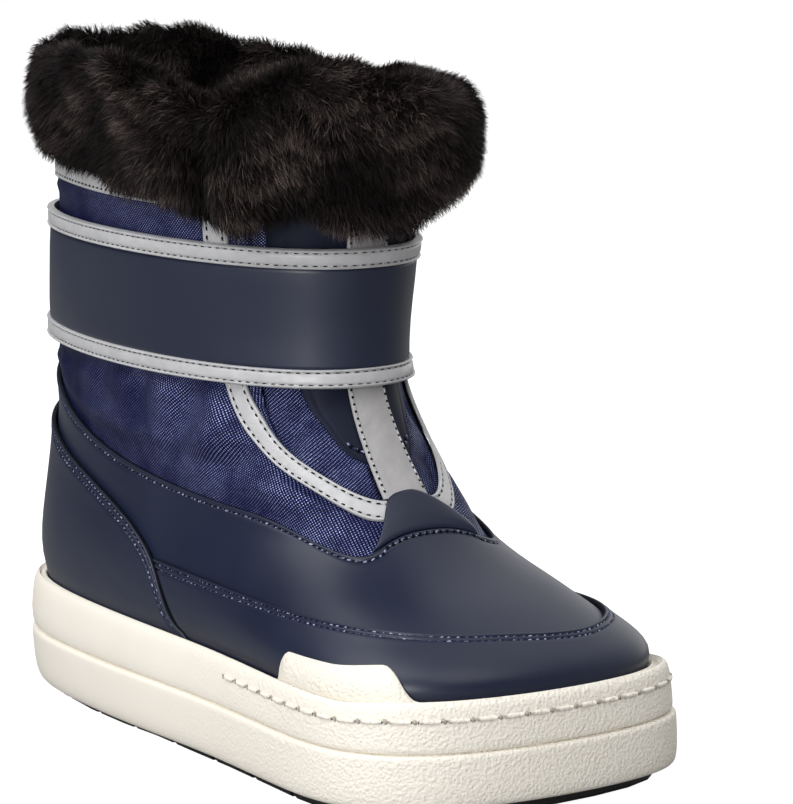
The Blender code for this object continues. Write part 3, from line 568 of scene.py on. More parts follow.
def tube(name, loops, closed, material, nodes, sharp=None, shadowRows=0):
    # A cross-section (rows) carried along a path (columns), closed at its ends by one face each. Its first
    # rows may take the near black edge material: the edge's dark colour and a painted shadow line along it
    columns, rows = loops.shape[:2]
    faces = [quadsOf(columns, rows, closed, True)]
    indices = (np.tile(np.arange(rows), columns if closed else columns - 1) < shadowRows).astype(np.int32)
    if not closed:
        faces.append(np.arange(rows)[None])
        faces.append((np.arange(rows)[::-1] + (columns - 1) * rows)[None])
        indices = np.concatenate([indices, [0, 0]])
    materials = [material, cutEdgeShadow] if shadowRows else [material]
    piece = makePiece(name, loops, faces, materials, nodes, indices=indices)
    if sharp:
        keepEdges(piece, sharp)


def wall(name, outer, inner, materials, nodes, closed=False, uv=None):
    # Outer and inner grid joined round their rims; the inner faces and rims take the last material
    columns, rows = outer.shape[:2]
    count = columns * rows

    def bridge(first, second):
        # One face from each two neighbours on the outer rim to the same two on the inner rim
        return np.stack([first, second, second + count, first + count], -1)

    outside = quadsOf(columns, rows, closed)
    inside = quadsOf(columns, rows, closed, start=count)[:, ::-1]
    here = np.arange(columns if closed else columns - 1) * rows
    following = (here + rows) % count
    faces = [outside, inside, bridge(following, here), bridge(here + rows - 1, following + rows - 1)]
    if not closed:
        first = np.arange(rows - 1)
        last = first + (columns - 1) * rows
        faces += [bridge(first, first + 1), bridge(last + 1, last)]
    indices = np.concatenate([np.full(len(f), 0 if f is outside else len(materials) - 1) for f in faces])
    maps = None if uv is None else np.concatenate([uv.reshape(-1, 2), uv.reshape(-1, 2)])
    points = np.concatenate([outer.reshape(-1, 3), inner.reshape(-1, 3)])
    keepEdges(makePiece(name, points, faces, materials, nodes, uv=maps, indices=indices), 50)


# Soft folds: degrees, level, lean in degrees, half length and half width in mm, height in mm
nylonFolds = np.array([
    (50, 6.0, 80, 15, 4.5, 1.1), (60, 5.7, 72, 16, 3.2, -0.9), (69, 6.0, 84, 14, 4.0, 1.2),
    (78, 5.75, 76, 15, 3.2, -1.0), (87, 6.0, 80, 14, 4.2, 1.2), (96, 5.7, 70, 15, 3.2, -1.0),
    (104, 5.8, 66, 13, 4.0, 1.1), (111, 5.4, 58, 14, 3.2, -0.9), (116, 5.0, 52, 13, 3.8, 0.9),
    (121, 4.75, 35, 15, 3.0, -0.8), (133, 4.50, 18, 12, 3.0, 0.7), (84, 4.55, 8, 24, 4.5, 0.6),
    (108, 4.60, 14, 16, 3.2, -0.6), (40, 5.5, 84, 15, 4.0, -0.9), (26, 5.6, 88, 14, 5.0, 1.0),
    (10, 5.3, 90, 14, 4.5, -0.8), (-60, 5.8, -78, 14, 4.5, 1.1), (-72, 5.5, -84, 16, 3.6, -0.9),
    (-86, 5.8, -80, 13, 4.5, 1.1), (-98, 5.5, -70, 14, 3.6, -0.9), (-108, 5.3, -62, 15, 4.2, 0.9),
    (-120, 4.7, -35, 14, 3.2, -0.8), (-30, 5.5, -80, 15, 5.0, 0.9), (-10, 5.7, -88, 13, 4.5, -0.8),
    (56, 8.0, 86, 8, 4.0, 0.7), (70, 8.0, 92, 8, 3.0, -0.6), (84, 7.95, 86, 8, 4.0, 0.7),
    (97, 7.9, 92, 8, 3.0, -0.6), (108, 7.9, 90, 8, 4.0, 0.6), (-70, 8.0, -88, 8, 4.0, 0.7),
    (-95, 8.0, -88, 8, 4.0, -0.6),
])


foldScale = {"mmPerDegree": 0.85, "mmPerLevel": 19.0}


def folds(table, angle, level):
    # Sum of height x exp(-(along / length)^2 - (across / width)^2) in the fold's own turned axes
    total = np.zeros(np.broadcast(angle, level).shape)
    for degrees, at, lean, length, width, height in table:
        x = ((np.degrees(angle) - degrees + 180) % 360 - 180) * foldScale["mmPerDegree"]
        z = (level - at) * foldScale["mmPerLevel"]
        c, s = math.cos(math.radians(lean)), math.sin(math.radians(lean))
        total += height * 1e-3 * np.exp(-((x * c + z * s) / length) ** 2 - ((-x * s + z * c) / width) ** 2)
    return total


def tapeEdge(level):
    # Half angle of the throat tape's outer edge at a level
    return np.interp(level, throatTape[1:, 3], throatTape[1:, 2])


def collarTapeLevel(angle, up):
    # Levels of the tape under the cuff, up above its lower edge:
    # z = collar - below + up + rise x e((from - |a|) / over)
    toBack = (collarBand["riseFrom"] - degreesFromBack(angle)) / collarBand["riseOver"]
    return levelAt(angle, boot["collar"] - collarBand["below"] + up + collarBand["rise"] * ease(toBack))


def clearOf(level, low, high, fade):
    # 0 between low and high, 1 from a fade's width beyond them
    return 1 - ease((level - low + fade) / fade) * ease((high + fade - level) / fade)


nylonSwell = {
    "puff": 0.0015, "foldScale": 2.9, "fromPanel": 0.50, "fromTape": 8.0, "fromStrap": 0.25, "fromCollar": 0.12,
}


def nylonRelief(angle, level):
    # (puff + folds), taken to nothing under the panels, the tapes and the strap and at the top edge
    away = 180 - degreesFromBack(angle)
    clear = ease((level - bothSides(panelTop, angle)) / nylonSwell["fromPanel"])
    clear = clear * np.where(level > 4.4, ease((away - tapeEdge(level) - 1.0) / nylonSwell["fromTape"]), 1.0)
    strapLow, strapHigh = levelAt(angle, strap["low"] - 0.002), levelAt(angle, strap["high"] + 0.006)
    clear = clear * clearOf(level, strapLow, strapHigh, nylonSwell["fromStrap"])
    collarLow = collarTapeLevel(angle, -0.0005)
    collarHigh = collarTapeLevel(angle, collarBand["width"] + 0.0005)
    clear = clear * clearOf(level, collarLow, collarHigh, nylonSwell["fromCollar"])
    clear = clear * ease((upperLevels["top"] - 0.05 - level) / 0.2)
    return (nylonSwell["puff"] + nylonSwell["foldScale"] * folds(nylonFolds, angle, level)) * clear


def nearer(level):
    # The throat's inner side lies nearer the middle than its outer side: 1 - 0.18 e((level - 4.35) / 0.5)
    return 1 - 0.18 * ease((level - 4.35) / 0.5)


def throatMiddle():
    # Degrees from the front and level half way across the throat's tape
    return (throatTape[:, :2] + throatTape[:, 2:]) / 2


upperMesh = {"rows": 88, "throatRows": 8, "columns": 241, "notch": 0.015, "gather": 6}


def makeUpper():
    # A wall from one side of the throat round the back to the other: a = pi s (1 - (1 - h / pi) s^6), where h
    # is the half angle that the cloth reaches at that level
    middle = throatMiddle()
    openAt = np.concatenate([[middle[0, 1] - upperMesh["notch"]], middle[1:, 1]])
    openBy = np.concatenate([[0.0], middle[1:, 0]])
    even = np.linspace(upperLevels["foot"], upperLevels["top"], upperMesh["rows"])
    close = np.linspace(openAt[0], openAt[3], upperMesh["throatRows"])
    rows = np.unique(np.round(np.concatenate([even, openAt, close]), 4))
    opening = np.interp(rows, openAt, openBy, left=0.0)
    half = np.radians(180 - opening)
    farHalf = np.radians(180 - opening * nearer(rows))
    share = np.linspace(-1, 1, upperMesh["columns"])[:, None]
    reach = np.where(share < 0, farHalf[None], half[None]) / np.pi
    angle = np.pi * share * (1 - (1 - reach) * share ** upperMesh["gather"])
    level = np.broadcast_to(rows[None], angle.shape)
    outer = laid(angle, level, nylonRelief(angle, level))
    inner = laid(angle, level, -layer["wall"])
    cloth = clothMap(onUpper(angle, level))
    wall("nylonUpper", outer, inner, [wovenNylon, darkFelt], ["upper"], uv=cloth)


makeUpper()
print("upper made")

# Cross-section of a panel's top edge: distance from the edge in mm, height as a share of the panel's thickness
foldedEdge = np.array([
    (0.00, 0.00), (0.00, 0.45), (0.10, 0.88), (0.35, 1.12), (0.80, 1.24), (1.40, 1.26), (1.90, 1.16),
    (2.25, 0.90), (2.45, 0.68), (2.60, 0.62), (2.75, 0.68), (3.00, 0.90), (3.60, 1.03), (5.50, 1.00),
])
doubleEdge = np.array([
    (0.00, 0.00), (0.00, 0.50), (0.10, 0.92), (0.35, 1.20), (0.70, 1.24), (1.00, 1.02), (1.18, 0.72),
    (1.30, 0.66), (1.42, 0.72), (1.65, 1.00), (2.25, 1.20), (2.85, 1.02), (3.08, 0.74), (3.20, 0.68),
    (3.32, 0.74), (3.55, 0.98), (4.10, 1.05), (5.30, 1.00),
])

# Soft troughs and swells of the coated panels, in the same columns as the nylon's
coatFolds = np.array([
    (168, 3.6, 20, 16, 7.0, 0.25), (150, 3.3, 12, 20, 7.0, -0.28), (128, 3.4, 6, 22, 7.0, 0.22),
    (104, 3.1, 4, 24, 8.0, -0.22), (70, 3.5, -8, 22, 7.0, 0.22), (30, 3.8, -5, 20, 6.0, -0.25),
    (-40, 3.6, 6, 22, 7.0, 0.22), (-80, 3.3, 2, 24, 8.0, -0.22), (-120, 3.3, -6, 22, 7.0, 0.22),
    (-150, 3.3, -12, 18, 6.0, -0.28), (180, 2.9, 0, 22, 8.0, 0.20),
])


underShares = np.array([0.0, 0.3, 0.6, 0.85])
tabShape = {
    "near": 11.0, "nearFoot": 21.0, "far": 18.0, "crest": 4.76, "fall": 0.60, "roundness": 14,
    "flatTo": 19.5, "flatOver": 4.0,
}
randShape = {"sink": 0.0004, "middle": 0.0002, "gap": 0.75, "dip": 0.24, "from": 172.0, "to": 275.0}


def panelLoops(angle, top, out, thickness, profile, fill, flat=0.0):
    # From the top edge down: the edge's profile, then even rows to the foot, then back up the underside
    foot = upperLevels["foot"]
    edgeLevel = top[:, None] - profile[None, :, 0] * 1e-3 / metresPerLevel(angle, top)[:, None]
    share = np.linspace(0, 1, fill + 1)[None, 1:]
    fillLevel = edgeLevel[:, -1:] + (foot - edgeLevel[:, -1:]) * share
    underLevel = foot + (top[:, None] - foot) * underShares[None]
    level = np.concatenate([edgeLevel, fillLevel, underLevel], axis=1)
    turn = np.broadcast_to(angle[:, None], level.shape)
    height = np.broadcast_to(profile[None, :, 1], edgeLevel.shape).copy()
    height[:, 2:] = 1 + (height[:, 2:] - 1) * (1 - np.broadcast_to(flat, angle.shape)[:, None])
    relief = folds(coatFolds, turn, level)[:, len(profile):-len(underShares)]
    filled = out + thickness + relief * ease((fillLevel - foot) / 0.6)
    outs = np.concatenate([out + thickness * height, filled, np.full(underLevel.shape, out)], axis=1)
    return turn, level, outs


def nearTab(angle):
    # 1 where the throat's tab lies over the panel, 0 a few degrees beyond it
    return ease((tabShape["flatTo"] - np.abs(np.degrees(angle) % 360 - 180)) / tabShape["flatOver"])


def makeVamp():
    # A closed band under panelTop, its edge flatter by 0.85 where the tab covers it
    angle = np.linspace(0, 2 * np.pi, 320, endpoint=False)
    top = bothSides(panelTop, angle)
    loops = panelLoops(angle, top, onNylon, layer["panel"], foldedEdge, 26, 0.85 * nearTab(angle))
    tube("vampPanel", laid(*loops), True, coatedNavy, ["vamp"], shadowRows=2)


def counterPath():
    # The counter's edge as a curve through its table, inner side first, at even spacing
    table = np.concatenate([counterTop[::-1] * (-1, 1), counterTop[1:]])
    at = np.linspace(0, len(table) - 1, 900)
    path = curveThrough(np.arange(len(table)), table, at)
    return evenSpacing(np.radians(path[:, 0]), path[:, 1], 260)


def makeCounter():
    # From each point of the curved edge: its profile square to it, then rows down to the foot and back up
    angle, level = counterPath()
    foot = upperLevels["foot"]
    turn, climb = stepAside(angle, level, -doubleEdge[:, 0] * 1e-3)
    climb = np.maximum(climb, foot)
    fill = climb[:, -1:] + (foot - climb[:, -1:]) * np.linspace(0, 1, 15)[None, 1:]
    under = foot + (level[:, None] - foot) * np.array([0.0, 0.35, 0.7])[None]
    turnFill = np.broadcast_to(turn[:, -1:], fill.shape)
    turnUnder = np.broadcast_to(angle[:, None], under.shape)
    edge = np.broadcast_to(overVamp + layer["panel"] * doubleEdge[None, :, 1], turn.shape)
    outs = [edge, np.full(fill.shape, overVamp + layer["panel"]), np.full(under.shape, overVamp)]
    parts = ([turn, turnFill, turnUnder], [climb, fill, under], outs)
    loops = laid(*(np.concatenate(part, axis=1) for part in parts))
    tube("heelCounter", loops, False, coatedNavy, ["heel_counter"], shadowRows=2)


def randStart(level):
    # Where the band meets the counter's front edge, with a small gap
    down = counterTop[counterTop[:, 0] >= 80][::-1]
    return np.radians(np.interp(level, down[:, 1], down[:, 0]) + randShape["gap"])


def randTopLevel(angle):
    # The band's top edge, lower by up to the dip just past the toe on the inner side
    degrees = np.degrees(angle) % 360
    dip = randShape["dip"] * ease((degrees - randShape["from"]) / 22) * ease((randShape["to"] - degrees) / 50)
    return bothSides(np.concatenate([[(0, randTop[0, 1])], randTop]), angle) - dip


def makeRand():
    # A band from the counter's front edge round the toe to the other side's, sunk slightly at its ends
    share = np.linspace(0, 1, 300)
    start = randStart(np.array(2.12))
    angle = start + (2 * np.pi - 2 * start) * share
    out = overVamp - randShape["sink"]
    turn, level, outs = panelLoops(angle, randTopLevel(angle), out, layer["panel"], doubleEdge, 16)
    first = randStart(level)
    turn = first + (2 * np.pi - 2 * first) * share[:, None]
    outs = outs + randShape["middle"] * ease((share * (1 - share))[:, None] * 200) * (outs > overVamp + 0.0001)
    tube("toeRand", laid(turn, level, outs), False, coatedNavy, ["toe_rand"], shadowRows=2)


makeVamp()
makeCounter()
makeRand()
print("lower panels made")

# Cross-section of a tape: place across it from -1 to 1, height as a share of its thickness
tapeSection = np.array([
    (-1.0, 0.00), (-1.0, 0.60), (-0.975, 0.95), (-0.92, 1.18), (-0.83, 1.24), (-0.75, 1.12), (-0.69, 0.80),
    (-0.65, 0.72), (-0.61, 0.80), (-0.53, 1.02), (-0.35, 1.10), (0.0, 1.12), (0.35, 1.10), (0.53, 1.02),
    (0.61, 0.80), (0.65, 0.72), (0.69, 0.80), (0.75, 1.12), (0.83, 1.24), (0.92, 1.18), (0.975, 0.95),
    (1.0, 0.60), (1.0, 0.00), (0.4, 0.0), (-0.4, 0.0),
])


def tapeLoops(low, high, out, thickness, section=tapeSection):
    # The section spread between low and high, the (angle, level) paths of the tape's two edges
    share = (section[None, :, 0] + 1) / 2
    angle = low[0][:, None] + (high[0] - low[0])[:, None] * share
    level = low[1][:, None] + (high[1] - low[1])[:, None] * share
    return laid(angle, level, np.asarray(out).reshape(-1, 1) + thickness * section[None, :, 1])


def throatPaths(count):
    # Both edges of the throat's tape, from the outer side round the front to the inner side
    table = curveThrough(np.linspace(0, 1, len(throatTape)), throatTape, np.linspace(0, 1, count))
    closer = nearer(table[:, 1:2])
    inner = table * np.concatenate([closer, np.ones_like(closer)] * 2, axis=1)
    both = np.concatenate([table[::-1] * (-1, 1, -1, 1), inner[1:]])
    angle = np.pi + np.radians(both[:, (0, 2)])
    return (angle[:, 1], both[:, 3]), (angle[:, 0], both[:, 1])


def makeThroatTape():
    # The tape's section along both edges of the throat
    loops = tapeLoops(*throatPaths(110), onNylon, layer["tape"])
    tube("throatTape", loops, False, greyTape, ["throat_tape"], sharp=60)


def collarSpan(count):
    # Angles from one side of the throat round the back to the other
    end = math.radians(180 - throatMiddle()[-1, 0] - collarBand["stop"])
    return np.linspace(-end, end, count)


def makeCollarTape():
    # The tape's section between its two levels round the shaft
    angle = collarSpan(200)
    low, high = ((angle, collarTapeLevel(angle, up)) for up in (0.0, collarBand["width"]))
    loops = tapeLoops(low, high, onNylon, layer["tape"])
    tube("collarTape", loops, False, greyTape, ["collar_tape"], sharp=60)


def tabTop(turn):
    # crest - fall |t|^1.5 on the far side and crest - (0.12 t^2 + 0.14 t^6 + 0.10 t^14) on the near side
    far = tabShape["fall"] * np.abs(turn) ** 1.5
    near = 0.12 * turn ** 2 + 0.14 * turn ** 6 + 0.10 * turn ** 14
    return tabShape["crest"] - np.where(turn < 0, near, far)


def makeTab():
    # Rows run down from the crest and dip at the foot to meet the vamp's lip. The thickness rounds off at the
    # rim only, by 1 - |t|^14
    turn = np.linspace(-1, 1, 81)
    angle = np.pi + np.radians(np.where(turn < 0, tabShape["near"], tabShape["far"])) * turn
    footAngle = np.pi + np.radians(np.where(turn < 0, tabShape["nearFoot"], tabShape["far"])) * turn
    foot = bothSides(panelTop, footAngle) + 0.012
    high = np.maximum(tabTop(turn), foot + 0.05)
    mm = metresPerLevel(angle, high)
    rim = np.array([(0.0, 0.0), (0.0, 0.55), (0.10, 0.88), (0.35, 1.12), (0.8, 1.24), (1.6, 1.28)])
    edgeLevel = np.maximum(high[:, None] - rim[None, :, 0] * 1e-3 / mm[:, None], foot[:, None] + 0.02)
    share = np.array([0.2, 0.45, 0.7, 0.85, 0.94, 1.0, 1.0, 0.5])[None]
    below = edgeLevel[:, -1:] + (foot[:, None] - edgeLevel[:, -1:]) * share
    level = np.concatenate([edgeLevel, below], axis=1)
    lift = 2 * layer["gap"] + layer["tape"]
    sideRim = (1 - np.abs(turn) ** tabShape["roundness"])[:, None]
    flush = onNylon + layer["panel"] * 1.22
    top = lift + layer["panel"] * 1.28
    fall = [top, top - 0.0001, top - 0.0004, flush + 0.0003, flush + 0.0001, flush - 0.0006, 0.0005, lift]
    down = np.array(fall)
    crownOut = lift + layer["panel"] * rim[None, :, 1] * sideRim
    downOut = lift + (down - lift)[None] * np.where(down[None] > lift, sideRim, 1.0)
    out = np.concatenate([crownOut, downOut], axis=1)
    fallen = np.clip((high[:, None] - level) / (high - foot)[:, None], 0, 1)
    widen = (tabShape["nearFoot"] / tabShape["near"] - 1) * fallen
    turned = np.pi + (angle - np.pi)[:, None] * (1 + np.where(turn < 0, 1, 0)[:, None] * widen)
    tube("throatTab", laid(turned, level, out), False, coatedNavy, ["throat_tab"])


makeThroatTape()
makeCollarTape()
makeTab()
print("throat made")

# Tongue, its panel and its strip lie behind the throat
tongueFolds = np.array([
    (139, 5.55, 62, 12, 2.4, 1.0), (144, 5.25, 52, 12, 2.0, -1.1), (149, 5.15, 44, 11, 2.2, 1.0),
    (155, 4.92, 30, 11, 1.9, -1.1), (160, 4.85, 22, 9, 2.2, 0.9), (135, 6.0, 78, 12, 2.4, -1.0),
    (131, 6.2, 84, 12, 2.4, 0.9), (146, 5.75, 20, 7, 2.0, -0.7), (-139, 5.55, -62, 12, 2.4, 1.0),
    (-144, 5.25, -52, 12, 2.0, -1.1), (-149, 5.15, -44, 11, 2.2, 1.0), (-155, 4.92, -30, 11, 1.9, -1.1),
    (-135, 6.0, -78, 12, 2.4, -1.0),
])
tonguePanelEdge = np.array([(5.12, 5), (5.18, 11), (5.32, 17), (5.60, 23), (6.00, 29), (7.47, 39), (8.50, 43)])


tongueShape = {
    "low": 4.25, "rows": 84, "columns": 131, "beyond": 9.5, "puff": 0.0025, "flatter": 0.0008,
    "stripLow": 4.72, "stripTop": 8.45, "stripHalf": 8.0, "stripRows": 80,
}
tongueFront = behind + 2 * layer["gap"]
onTonguePanel = tongueFront + layer["tape"] + 2 * layer["gap"]
stripSection = np.array([
    (-1, 0), (-1, 0.6), (-0.97, 0.95), (-0.9, 1.1), (-0.8, 1.1), (-0.4, 1.15), (0, 1.18), (0.4, 1.15),
    (0.8, 1.1), (0.9, 1.1), (0.97, 0.95), (1, 0.6), (1, 0), (0, 0),
])


def makeTongueCloth():
    # A wall behind the throat, wider than it, that puffs out by (puff - flatter + folds) between panel and tape
    middle = throatMiddle()
    rows = np.linspace(tongueShape["low"], upperLevels["top"], tongueShape["rows"])
    reach = np.interp(rows, middle[1:, 1], middle[1:, 0]) + tongueShape["beyond"]
    angle = np.pi + np.radians(reach)[None] * np.linspace(-1, 1, tongueShape["columns"])[:, None]
    level = np.broadcast_to(rows[None], angle.shape)
    away = np.abs(np.degrees(angle) - 180)
    opening = np.interp(level, middle[1:, 1], middle[1:, 0]) * np.where(angle > np.pi, nearer(level), 1.0)
    panelSide = np.interp(level, tonguePanelEdge[:, 0], tonguePanelEdge[:, 1], left=9.0)
    puff = ease((opening - 0.4 - away) / 1.8) * ease((away - panelSide + 3) / 4.0) * ease((level - 4.5) / 0.3)
    creased = ease((opening - 3 - away) / 5.0)
    swell = tongueShape["puff"] + (folds(tongueFolds, angle, level) - tongueShape["flatter"]) * creased
    outer = laid(angle, level, behind - 0.0002 + swell * puff)
    inner = laid(angle, level, behind - layer["tongue"])
    cloth = clothMap(onUpper(angle, level))
    wall("tongueCloth", outer, inner, [wovenNylon, darkFelt], ["tongue"], uv=cloth)


def panelEdge(to, count):
    # Level and degrees from the front along the tongue panel's rounded edge, from its foot up
    return curveThrough(np.linspace(0, 1, len(tonguePanelEdge)), tonguePanelEdge, np.linspace(0, to, count))


def makeTonguePanel():
    # Rows across the panel from one side of its edge to the other and back underneath
    table = panelEdge(1, 70)
    across = np.array([0, 0, 0.015, 0.05, 0.10, 0.14, 0.17, 0.20, 0.26, 0.4, 0.7, 1.0])
    height = np.array([0, 0.6, 1.0, 1.12, 1.1, 0.95, 0.8, 0.95, 1.0, 1.0, 1.0, 1.0])
    crossShare = np.concatenate([across - 1, 1 - across[::-1][1:], [0.5, 0.0, -0.5]])
    crossHeight = np.concatenate([height, height[::-1][1:], [0, 0, 0]])
    level = np.broadcast_to(table[:, :1], (len(table), len(crossShare)))
    angle = np.pi + np.radians(table[:, 1:2]) * crossShare[None]
    loops = laid(angle, level, tongueFront + layer["tape"] * crossHeight[None])
    tube("tonguePanel", loops, False, shadedMattNavy, ["tongue_panel"])


def makeTongueStrip():
    # The strip's section between two straight edges up the middle of the panel
    rows = np.linspace(tongueShape["stripLow"], tongueShape["stripTop"], tongueShape["stripRows"])
    half = math.radians(tongueShape["stripHalf"])
    low, high = ((np.full(len(rows), np.pi + side * half), rows) for side in (-1, 1))
    loops = tapeLoops(low, high, onTonguePanel, layer["tape"], stripSection)
    tube("tongueStrip", loops, False, shadedStripTape, ["tongue_strip"], sharp=60)


makeTongueCloth()
makeTonguePanel()
makeTongueStrip()
print("tongue made")

bandSection = np.array([
    (-1.0, 0.0), (-1.0, 0.8), (-0.9, 0.92), (-0.6, 1.0), (-0.2, 1.05), (0.2, 1.05), (0.6, 1.0), (0.9, 0.92),
    (1.0, 0.8), (1.0, 0.0), (0.0, 0.0),
])


def strapPath(count):
    # Once round the shaft at one distance, then over the strap's own start: out + (thickness + gap) x e(lap)
    degrees = np.linspace(strap["start"], strap["end"], count)
    lap = ease((degrees - strap["riseFrom"]) / (strap["riseTo"] - strap["riseFrom"]))
    out = 3 * layer["gap"] + layer["tape"] + (strap["tapeThick"] + layer["gap"]) * lap
    return np.radians(degrees), out


def strapLevel(angle, height):
    # Levels on the plane z + tilt x = height + tilt x(shaft's side)
    fall = strap["tilt"] * onUpper(np.pi / 2, 6.5)[0]
    return levelAt(angle, height + fall, strap["tilt"])


def makeStrap():
    # The band between its tapes, with a slight wave in its face, and a tape along each edge
    angle, out = strapPath(360)
    wave = strap["wave"] * waves(5, angle, np.zeros_like(angle), 5, (2, 7))
    tapeLow, tapeHigh = strap["low"] + strap["tapeWidth"], strap["high"] - strap["tapeWidth"]
    tuck = 0.0004
    low, high = strapLevel(angle, tapeLow - tuck), strapLevel(angle, tapeHigh + tuck)
    level = low[:, None] + (high - low)[:, None] * (bandSection[None, :, 0] + 1) / 2
    face = bandSection[None, :, 1]
    outs = out[:, None] + (strap["thick"] - 0.0003) * face + wave[:, None] * (face > 0.95)
    loops = laid(np.broadcast_to(angle[:, None], level.shape), level, outs)
    tube("strapBand", loops, False, coatedNavy, ["strap"])
    for name, node, bottom, top in (
        ("strapTapeBottom", "strap_tape_bottom", strap["low"], tapeLow),
        ("strapTapeTop", "strap_tape_top", tapeHigh, strap["high"]),
    ):
        low, high = ((angle, strapLevel(angle, height)) for height in (bottom, top))
        loops = tapeLoops(low, high, out, strap["tapeThick"] / strap["fullness"])
        tube(name, loops, False, greyTape, [node], sharp=60)


makeStrap()
print("strap made")

# Sole: height from the bottom (0) over the groove (1) to the rim (2), inset at the heel and the toe as shares
sole = {
    "bottomHeel": 0.0023, "bottomToe": 0.0050, "groove": 0.0212, "rimHeel": 0.0404, "rimToe": 0.0352,
    "inset": 0.0063, "toeOut": 0.0009, "tab": 0.0072, "tread": 0.0062, "floor": 0.0050,
    "wellHeel": 0.0255, "wellToe": 0.0215, "toeRise": 0.0016, "tabFall": 0.25, "clear": 0.0004,
}
soleSide = np.array([
    (0.00, 0.90, 0.35), (0.025, 0.66, 0.20), (0.06, 0.50, 0.12), (0.10, 0.39, 0.075), (0.16, 0.30, 0.045),
    (0.24, 0.22, 0.02), (0.35, 0.155, 0.005), (0.45, 0.12, 0.00), (0.60, 0.075, 0.005), (0.75, 0.045, 0.02),
    (0.88, 0.02, 0.035), (0.93, 0.025, 0.045), (0.965, 0.05, 0.07), (0.985, 0.10, 0.125), (0.997, 0.19, 0.21),
    (1.003, 0.30, 0.38), (1.012, 0.33, 0.42), (1.022, 0.30, 0.39), (1.04, 0.20, 0.30), (1.07, 0.13, 0.24),
    (1.12, 0.08, 0.22), (1.20, 0.04, 0.225), (1.35, 0.02, 0.25), (1.50, 0.06, 0.28), (1.65, 0.11, 0.32),
    (1.78, 0.17, 0.37), (1.88, 0.25, 0.44), (1.95, 0.35, 0.54), (1.985, 0.48, 0.68),
])
# The lip over the rim and down inside: share between plain rim (0) and tab (1), mm above that, mm out
rimLip = np.array([
    (0.0, 0.0, 2.1), (0.4, 0.0, 1.7), (1.0, 0.0, 1.4), (1.0, 0.3, 1.08), (1.0, 0.4, 0.6), (1.0, 0.1, 0.2),
    (1.0, -0.6, 0.0), (1.0, -3.0, 0.0),
])


def rimHeight(angle):
    # Plain rim: heel + (toe - heel) s + a rise round the toe. With the side tab: plain + tab x two eased ends
    degrees = np.degrees(angle) % 360
    tab = ease((degrees - 121) / 6) * ease((157 - degrees) / 7)
    lean = 1 - sole["tabFall"] * np.clip((degrees - 127) / 25, 0, 1)
    front = ease((42 - np.abs(degrees - 180)) / 16)
    fall = (sole["rimToe"] - sole["rimHeel"]) * along(angle)
    plain = sole["rimHeel"] + fall + sole["toeRise"] * front
    return plain, plain + sole["tab"] * tab * lean


def stepInset(angle, heel, toe):
    # How far the side lies inside the outline: inset x its share at that place, less the toe's fullness s^6
    share = along(angle)
    return sole["inset"] * (heel + (toe - heel) * share) - sole["toeOut"] * share ** 6


def soleRows(angle):
    # Rings from the underside out over the edge, up the stepped side, over the lip and down into the well
    share = along(angle)
    bottom = sole["bottomHeel"] + (sole["bottomToe"] - sole["bottomHeel"]) * share ** 2
    plain, rim = rimHeight(angle)
    well = sole["wellHeel"] + (sole["wellToe"] - sole["wellHeel"]) * share
    tread = sole["tread"]
    rings = [soleRing(angle, 2.0 * tread, bottom + sole["floor"] / 2), soleRing(angle, 1.2 * tread, bottom)]
    for height, heel, toe in soleSide:
        low, high = (bottom, sole["groove"]) if height <= 1 else (sole["groove"], plain)
        z = low + (high - low) * (height - (height > 1))
        rings.append(soleRing(angle, stepInset(angle, heel, toe), z))
    inside = overVamp + layer["panel"] + sole["clear"]
    for up, above, out in rimLip:
        level = levelAt(angle, plain + (rim - plain) * up + above * 1e-3)
        rings.append(laid(angle, level, inside + out * 1e-3))
    for above in (0.004, 0.0005):
        rings.append(laid(angle, levelAt(angle, well + above), inside))
    return np.array(rings)


def makeCup():
    # The rings closed by one face underneath and one in the well
    angle = np.linspace(0, 2 * np.pi, 480, endpoint=False)
    rings = soleRows(angle)
    ring = np.arange(len(angle))[None]
    sides = quadsOf(len(rings), len(angle), False, True)
    faces = [sides, ring[:, ::-1], ring + (len(rings) - 1) * len(angle)]
    keepEdges(makePiece("soleCup", rings, faces, [creamRubber], ["cupsole"]), 55)


treadLook = {"low": (0.006, 0.006, 0.007), "high": (0.022, 0.022, 0.024), "pitch": 0.0014, "depth": 0.0004}


def treadMaterial():
    # Black rubber with thin ridges round its side, sin(2 pi z / pitch), their tops lighter by a painted highlight
    made, tree, shader = newMaterial("treadRubber", (0.010, 0.010, 0.011), 0.45)
    place = add(tree, "ShaderNodeTexCoord").outputs["Object"]
    height = add(tree, "ShaderNodeSeparateXYZ", {0: place}).outputs[2]
    turns = maths(tree, "MULTIPLY", height, 2 * math.pi / treadLook["pitch"])
    ridgeAndSheen = rangeOf(tree, maths(tree, "SINE", turns), 0.2, 0.9)
    grain = add(tree, "ShaderNodeTexNoise", {"Vector": place, "Scale": 1400.0, "Detail": 2.0}).outputs[0]
    tree.links.new(mixColour(tree, ridgeAndSheen, treadLook["low"], treadLook["high"]), shader.inputs["Base Color"])
    raised = maths(tree, "MULTIPLY_ADD", grain, 0.3, ridgeAndSheen)
    bump = add(tree, "ShaderNodeBump", {"Strength": 0.6, "Distance": treadLook["depth"], "Height": raised})
    tree.links.new(bump.outputs[0], shader.inputs["Normal"])
    return made


makeCup()
# The tread and the insole keep their solids and take their own finish
for nodeName, finish in (("outsole", treadMaterial()), ("insole", darkFelt)):
    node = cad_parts[nodeName]
    node.data.materials.clear()
    node.data.materials.append(finish)
print("sole made")

